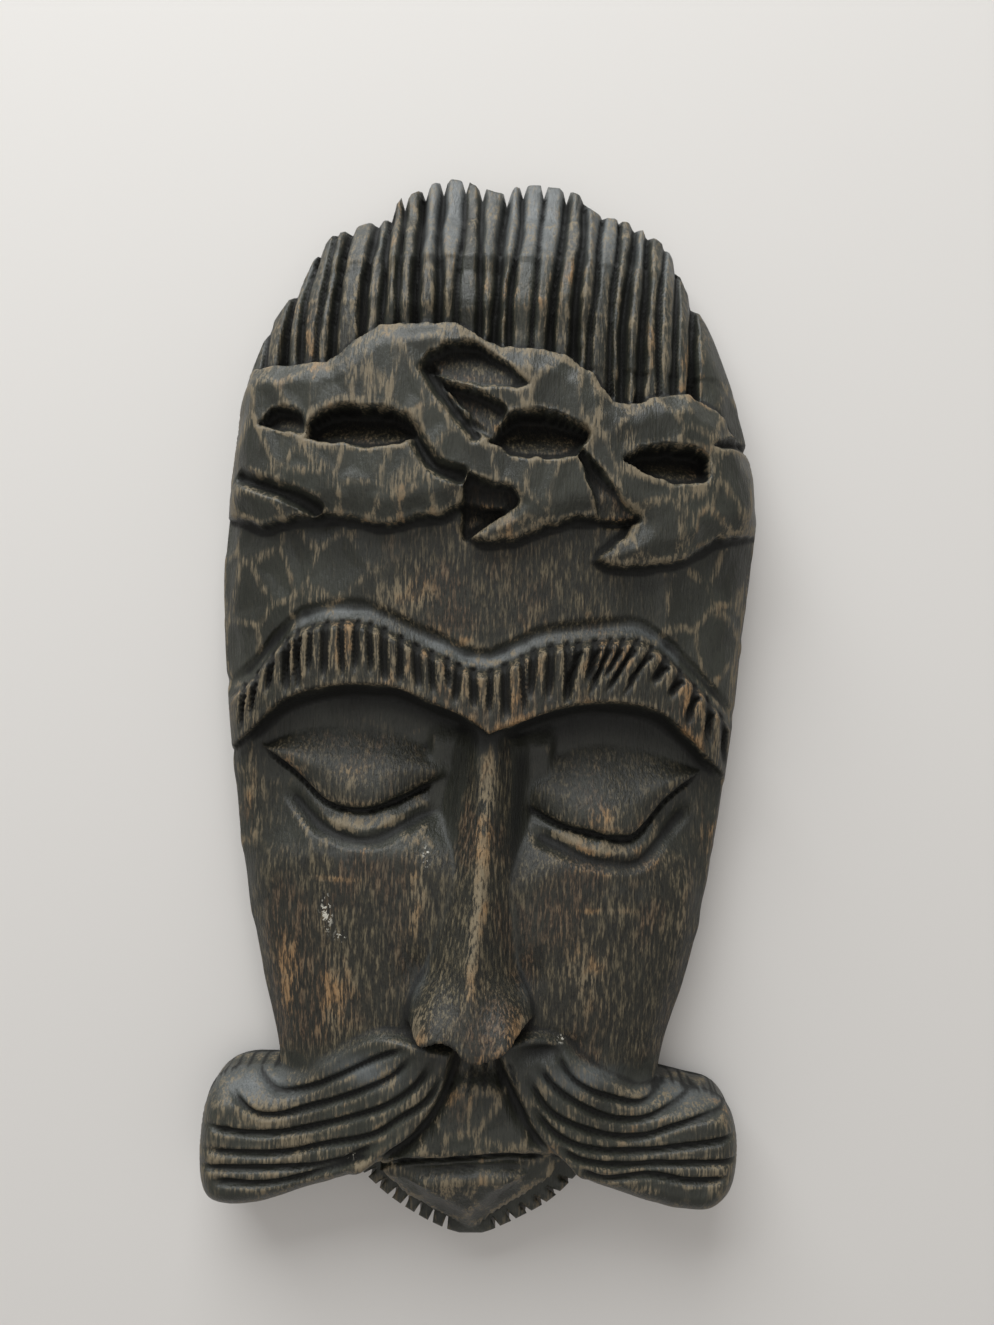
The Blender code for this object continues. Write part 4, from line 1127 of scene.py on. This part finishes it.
@dataclass
class GougeMarks:
    """The shallow facets a gouge leaves, pressed into the surface by Geometry Nodes."""

    facet_size: float = 14.0
    facet_depth: float = 0.7
    ridge_width: float = 1.7
    stretch: tuple[float, float, float] = (1.15, 0.85, 0.55)
    seed: int = 4

    def tree(self, material: bpy.types.Material) -> bpy.types.NodeTree:
        """Builds the tree, whose sizes are its named inputs."""
        group = bpy.data.node_groups.new("gouge_marks", "GeometryNodeTree")
        sockets = group.interface
        sockets.new_socket("Geometry", in_out="INPUT", socket_type="NodeSocketGeometry")
        for name in ("Facet Size", "Facet Depth", "Ridge Width", "Seed"):
            sockets.new_socket(name, in_out="INPUT", socket_type="NodeSocketFloat")
        sockets.new_socket("Geometry", in_out="OUTPUT", socket_type="NodeSocketGeometry")
        tree = Tree(group)
        start = group.nodes.new("NodeGroupInput")
        size, depth, width, seed = (Signal(tree, start.outputs[i]) for i in range(1, 5))
        place = tree.node("GeometryNodeInputPosition", {}, {})
        shift = tree.node("ShaderNodeCombineXYZ", {}, {"X": seed, "Y": seed * 0.37, "Z": seed * 0.11})
        scaled = tree.node("ShaderNodeVectorMath", {"operation": "SCALE"}, {0: place, "Scale": 1.0 / size})
        stretched = tree.node("ShaderNodeVectorMath", {"operation": "MULTIPLY"}, {0: scaled, 1: self.stretch})
        moved = tree.node("ShaderNodeVectorMath", {"operation": "ADD"}, {0: stretched, 1: shift})
        sockets_in = {"Vector": moved, "Scale": 1.0, "Randomness": 0.9}
        settings = {"voronoi_dimensions": "3D", "feature": "DISTANCE_TO_EDGE"}
        edge = tree.node("ShaderNodeTexVoronoi", settings, sockets_in, "Distance") * size
        chisel = tree.node("GeometryNodeInputNamedAttribute", {"data_type": "FLOAT"}, {"Name": "chisel"})
        dish = (edge / (size * 0.32)).rise(0.0, 1.0)
        normal = tree.node("GeometryNodeInputNormal", {}, {})
        push = tree.node(
            "ShaderNodeVectorMath", {"operation": "SCALE"}, {0: normal, "Scale": dish * depth * chisel * -1.0}
        )
        geometry = Signal(tree, start.outputs[0])
        geometry = tree.node("GeometryNodeSetPosition", {}, {"Geometry": geometry, "Offset": push})
        ridge = (1.0 - (edge / width).rise(0.0, 1.0)) * chisel
        geometry = tree.node(
            "GeometryNodeStoreNamedAttribute",
            {"data_type": "FLOAT", "domain": "POINT"},
            {"Geometry": geometry, "Name": "ridge", "Value": ridge},
        )
        geometry = tree.node("GeometryNodeRealizeInstances", {}, {"Geometry": geometry})
        geometry = tree.node("GeometryNodeSetMaterial", {}, {"Geometry": geometry, "Material": material})
        end = group.nodes.new("NodeGroupOutput")
        group.links.new(geometry.socket, end.inputs[0])
        return group

    def press(self, mesh: bpy.types.Mesh, material: bpy.types.Material) -> bpy.types.Mesh:
        """Presses the marks into a mesh.

        Args:
            mesh: the carved surface, with its chisel value.
            material: the finish it gets.

        Returns:
            A new mesh with the marks in it.
        """
        guide = bpy.data.objects.new("gouge_guide", mesh)
        bpy.context.scene.collection.objects.link(guide)
        group = self.tree(material)
        modifier = guide.modifiers.new("Gouge", "NODES")
        modifier.node_group = group
        values = {
            "Facet Size": self.facet_size * MM,
            "Facet Depth": self.facet_depth * MM,
            "Ridge Width": self.ridge_width * MM,
            "Seed": float(self.seed),
        }
        for item in group.interface.items_tree:
            if item.in_out == "INPUT" and item.name in values:
                modifier[item.identifier] = values[item.name]
        graph = bpy.context.evaluated_depsgraph_get()
        made = bpy.data.meshes.new_from_object(guide.evaluated_get(graph))
        bpy.data.objects.remove(guide)
        return made


@dataclass
class CarvedMask:
    """The whole mask: one piece of wood."""

    name: str = "mask_carving"
    node: str = "carved_mask"
    surface_step: float = 0.74
    back_step: float = 5.0
    wall_rows: int = 9
    wall_inset: float = 0.8
    inset_from: float = 0.6
    wall_chisel: float = 0.9
    rub_reach: int = 8
    blank: Blank = field(default_factory=Blank)
    hair: Hair = field(default_factory=Hair)
    headband: Headband = field(default_factory=Headband)
    brows: Brows = field(default_factory=Brows)
    eyes: Eyes = field(default_factory=Eyes)
    skin: ForeheadAndCheeks = field(default_factory=ForeheadAndCheeks)
    moustache: Moustache = field(default_factory=Moustache)
    mouth: Mouth = field(default_factory=Mouth)
    nose: Nose = field(default_factory=Nose)
    marks: GougeMarks = field(default_factory=GougeMarks)

    def relief(self, x: Array, y: Array, outline: Array) -> Relief:
        """Carves every feature in turn.

        Args:
            x: the surface points' places across the mask.
            y: their places up the mask.
            outline: the blank's outline.

        Returns:
            The carved surface.
        """
        relief = Relief(x, y, outline)
        self.blank.carve(relief)
        self.hair.carve(relief)
        self.headband.carve(relief, self.blank)
        self.brows.carve(relief)
        self.skin.carve(relief)
        self.eyes.carve(relief)
        self.moustache.carve(relief)
        self.mouth.carve(relief)
        self.nose.carve(relief)
        self.blank.round_edge(relief)
        return relief

    @staticmethod
    def sheet(outline: Array, step: float) -> tuple[Array, list]:
        """Fills an outline with even triangles.

        Args:
            outline: the closed outline.
            step: the distance between points.

        Returns:
            The points, the outline's first, and the triangles.
        """
        low = outline.min(axis=0)
        high = outline.max(axis=0)
        rows = np.arange(low[1], high[1], step * math.sqrt(0.75))
        columns = np.arange(low[0], high[0], step)
        x, y = np.meshgrid(columns, rows)
        x[1::2] += 0.5 * step
        x = x.ravel()
        y = y.ravel()
        clear = inward(x, y, outline, 2.0 * step) > 0.45 * step
        points = np.vstack([outline, np.stack([x[clear], y[clear]], axis=1)])
        edge = list(range(len(outline)))
        places = [Vector(point) for point in points.tolist()]
        flat, _, triangles, _, _, _ = delaunay_2d_cdt(places, [], [edge], 1, 1e-5)
        return np.array([tuple(v) for v in flat]), [list(t) for t in triangles]

    def mesh(self) -> bpy.types.Mesh:
        """Builds the closed carved surface, with its values for the finish."""
        outline = self.blank.outline(self.hair.ends())
        flat, triangles = self.sheet(outline, self.surface_step)
        relief = self.relief(flat[:, 0], flat[:, 1], outline)
        count = len(outline)
        ahead = np.roll(outline, -1, axis=0) - np.roll(outline, 1, axis=0)
        outward = np.stack([-ahead[:, 1], ahead[:, 0]], axis=1)
        outward /= np.maximum(np.linalg.norm(outward, axis=1), 1e-9)[:, None]
        points = [np.column_stack([flat, relief.z])]
        faces = list(triangles)
        above = list(range(count))
        top = relief.z[:count]
        total = len(flat)
        for row in range(1, self.wall_rows + 1):
            share = row / self.wall_rows
            inset = self.wall_inset * max(0.0, (share - self.inset_from) / (1.0 - self.inset_from)) ** 2
            place = outline - inset * outward
            points.append(np.column_stack([place, top * (1.0 - share)]))
            below = [total + index for index in range(count)]
            total += count
            for index in range(count):
                after = (index + 1) % count
                faces.append([above[index], above[after], below[after], below[index]])
            above = below
        back, back_triangles = self.sheet(place, self.back_step)
        inner = np.column_stack([back[count:], np.zeros(len(back) - count)])
        points.append(inner)
        number = above + [total + index for index in range(len(inner))]
        faces += [[number[a], number[c], number[b]] for a, b, c in back_triangles]
        places = np.vstack(points)
        shift = 0.5 * (outline.min(axis=0) + outline.max(axis=0))
        places[:, :2] -= shift
        mesh = bpy.data.meshes.new(self.name)
        mesh.from_pydata((places * MM).tolist(), [], faces)
        side = len(places) - len(flat)
        for name in LAYERS:
            layer = getattr(relief, name)
            rest = np.full(side, self.wall_chisel if name == "chisel" else 0.0)
            if name == "chisel":
                rest[places[len(flat):, 2] < 0.5] = 0.0
            self.store(mesh, name, np.concatenate([layer, rest]))
        return self.facing_out(mesh)

    @staticmethod
    def store(mesh: bpy.types.Mesh, name: str, values: Array) -> None:
        """Keeps one number for each point of the mesh, for the finish to read."""
        layer = mesh.attributes.new(name, "FLOAT", "POINT")
        layer.data.foreach_set("value", values.astype(np.float32))

    @staticmethod
    def facing_out(mesh: bpy.types.Mesh) -> bpy.types.Mesh:
        """Turns every face outwards and shades the mesh smooth."""
        work = bmesh.new()
        work.from_mesh(mesh)
        bmesh.ops.recalc_face_normals(work, faces=work.faces[:])
        bmesh.ops.triangulate(work, faces=[f for f in work.faces if len(f.verts) > 3])
        work.to_mesh(mesh)
        work.free()
        mesh.shade_smooth()
        return mesh

    def rub(self, mesh: bpy.types.Mesh) -> None:
        """Works out where edges stand proud, for the finish, and adds painted shade where cuts lie deep."""
        count = len(mesh.vertices)
        places = np.empty(count * 3)
        mesh.vertices.foreach_get("co", places)
        height = places.reshape(-1, 3)[:, 2] / MM
        edges = np.empty(len(mesh.edges) * 2, dtype=np.int64)
        mesh.edges.foreach_get("vertices", edges)
        one, two = edges.reshape(-1, 2).T
        degree = np.bincount(one, minlength=count) + np.bincount(two, minlength=count)
        level = height.copy()
        for _ in range(self.rub_reach):
            total = np.bincount(one, level[two], count) + np.bincount(two, level[one], count)
            level = total / np.maximum(degree, 1)
        proud = height - level
        self.store(mesh, "convex", np.clip((proud - 0.18) / 0.5, 0.0, 1.0))
        # Painted shade: places lower than their surroundings darken with their depth.
        painted_shade = np.empty(count, dtype=np.float32)
        mesh.attributes["painted_shade"].data.foreach_get("value", painted_shade)
        painted_shade = np.clip(np.maximum(0.85 * painted_shade, (-proud - 0.35) / 0.7), 0.0, 1.0)
        mesh.attributes["painted_shade"].data.foreach_set("value", painted_shade.astype(np.float32))

    def build(self) -> bpy.types.Object:
        """Builds the dressed mask in the CAD node's place."""
        material = StainedWood().build()
        mesh = self.marks.press(self.mesh(), material)
        self.rub(mesh)
        mesh.name = self.name
        piece = bpy.data.objects.new(self.name, mesh)
        bpy.context.scene.collection.objects.link(piece)
        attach(piece, "root")
        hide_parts(self.node)
        LOG.info("%s: %d triangles", self.name, len(mesh.polygons))
        return piece


class Wall(Enum):
    """Which way a soft light comes from, seen from above the mask."""

    WINDOW = "window"
    ROOM = "room"


@dataclass
class Studio:
    """A pale floor, soft light and the camera that looks down on the mask."""

    lens: float = 32.0
    camera_height: float = 348.5
    camera_x: float = 3.85
    camera_y: float = 12.24
    roll_rise: float = 25.0
    roll_run: float = 1050.0
    floor_size: float = 6.0
    floor_colour: tuple[float, float, float, float] = (0.62, 0.60, 0.575, 1.0)
    window_power: float = 23.0
    room_power: float = 5.0
    world_colour: tuple[float, float, float, float] = (1.0, 0.985, 0.975, 1.0)
    world_strength: float = 0.40

    def floor(self) -> None:
        """A plain pale floor under the mask."""
        half = 0.5 * self.floor_size
        mesh = bpy.data.meshes.new("pale_floor")
        corners = [(-half, -half, 0.0), (half, -half, 0.0), (half, half, 0.0), (-half, half, 0.0)]
        mesh.from_pydata(corners, [], [(0, 1, 2, 3)])
        material = bpy.data.materials.new("pale_floor")
        material.use_nodes = True
        shader = material.node_tree.nodes["Principled BSDF"]
        shader.inputs["Base Color"].default_value = self.floor_colour
        shader.inputs["Roughness"].default_value = 0.85
        mesh.materials.append(material)
        plane = bpy.data.objects.new("pale_floor", mesh)
        bpy.context.scene.collection.objects.link(plane)

    def light(self, wall: Wall) -> None:
        """One soft area light, aimed at the mask."""
        place, size, power, colour = {
            Wall.WINDOW: ((-0.3, 1.05, 0.55), 1.1, self.window_power, (0.96, 0.985, 1.0)),
            Wall.ROOM: ((0.1, -0.2, 1.6), 1.4, self.room_power, (1.0, 0.96, 0.92)),
        }[wall]
        lamp = bpy.data.lights.new(wall.value, "AREA")
        lamp.shape = "SQUARE"
        lamp.size = size
        lamp.energy = power
        lamp.color = colour
        item = bpy.data.objects.new(wall.value, lamp)
        item.location = place
        item.rotation_euler = (Vector((0.0, 0.0, 0.0)) - Vector(place)).to_track_quat("-Z", "Y").to_euler()
        bpy.context.scene.collection.objects.link(item)

    def world(self) -> None:
        """Even light from all round."""
        world = bpy.data.worlds.new("room")
        world.use_nodes = True
        background = world.node_tree.nodes["Background"]
        background.inputs["Color"].default_value = self.world_colour
        background.inputs["Strength"].default_value = self.world_strength
        bpy.context.scene.world = world
        bpy.context.scene.view_settings.view_transform = "Standard"

    def camera(self, shift: Array) -> None:
        """The camera straight above the mask, turned as the photograph is."""
        lens = bpy.data.cameras.new("camera")
        lens.lens = self.lens
        lens.sensor_width = 36.0
        lens.clip_start = 0.01
        item = bpy.data.objects.new("camera", lens)
        item.location = (
            (self.camera_x - shift[0]) * MM,
            (self.camera_y - shift[1]) * MM,
            self.camera_height * MM,
        )
        item.rotation_euler = (0.0, 0.0, math.atan2(self.roll_rise, self.roll_run))
        bpy.context.scene.collection.objects.link(item)
        bpy.context.scene.camera = item

    def build(self, shift: Array) -> None:
        """Sets up the floor, the lights, the world and the camera."""
        self.floor()
        for wall in Wall:
            self.light(wall)
        self.world()
        self.camera(shift)


def main() -> None:
    """Builds the mask and its studio."""
    logging.basicConfig(level=logging.INFO, format="%(name)s: %(message)s")
    mask = CarvedMask()
    mask.build()
    outline = mask.blank.outline(mask.hair.ends())
    Studio().build(0.5 * (outline.min(axis=0) + outline.max(axis=0)))


if __name__ == "__main__":
    main()
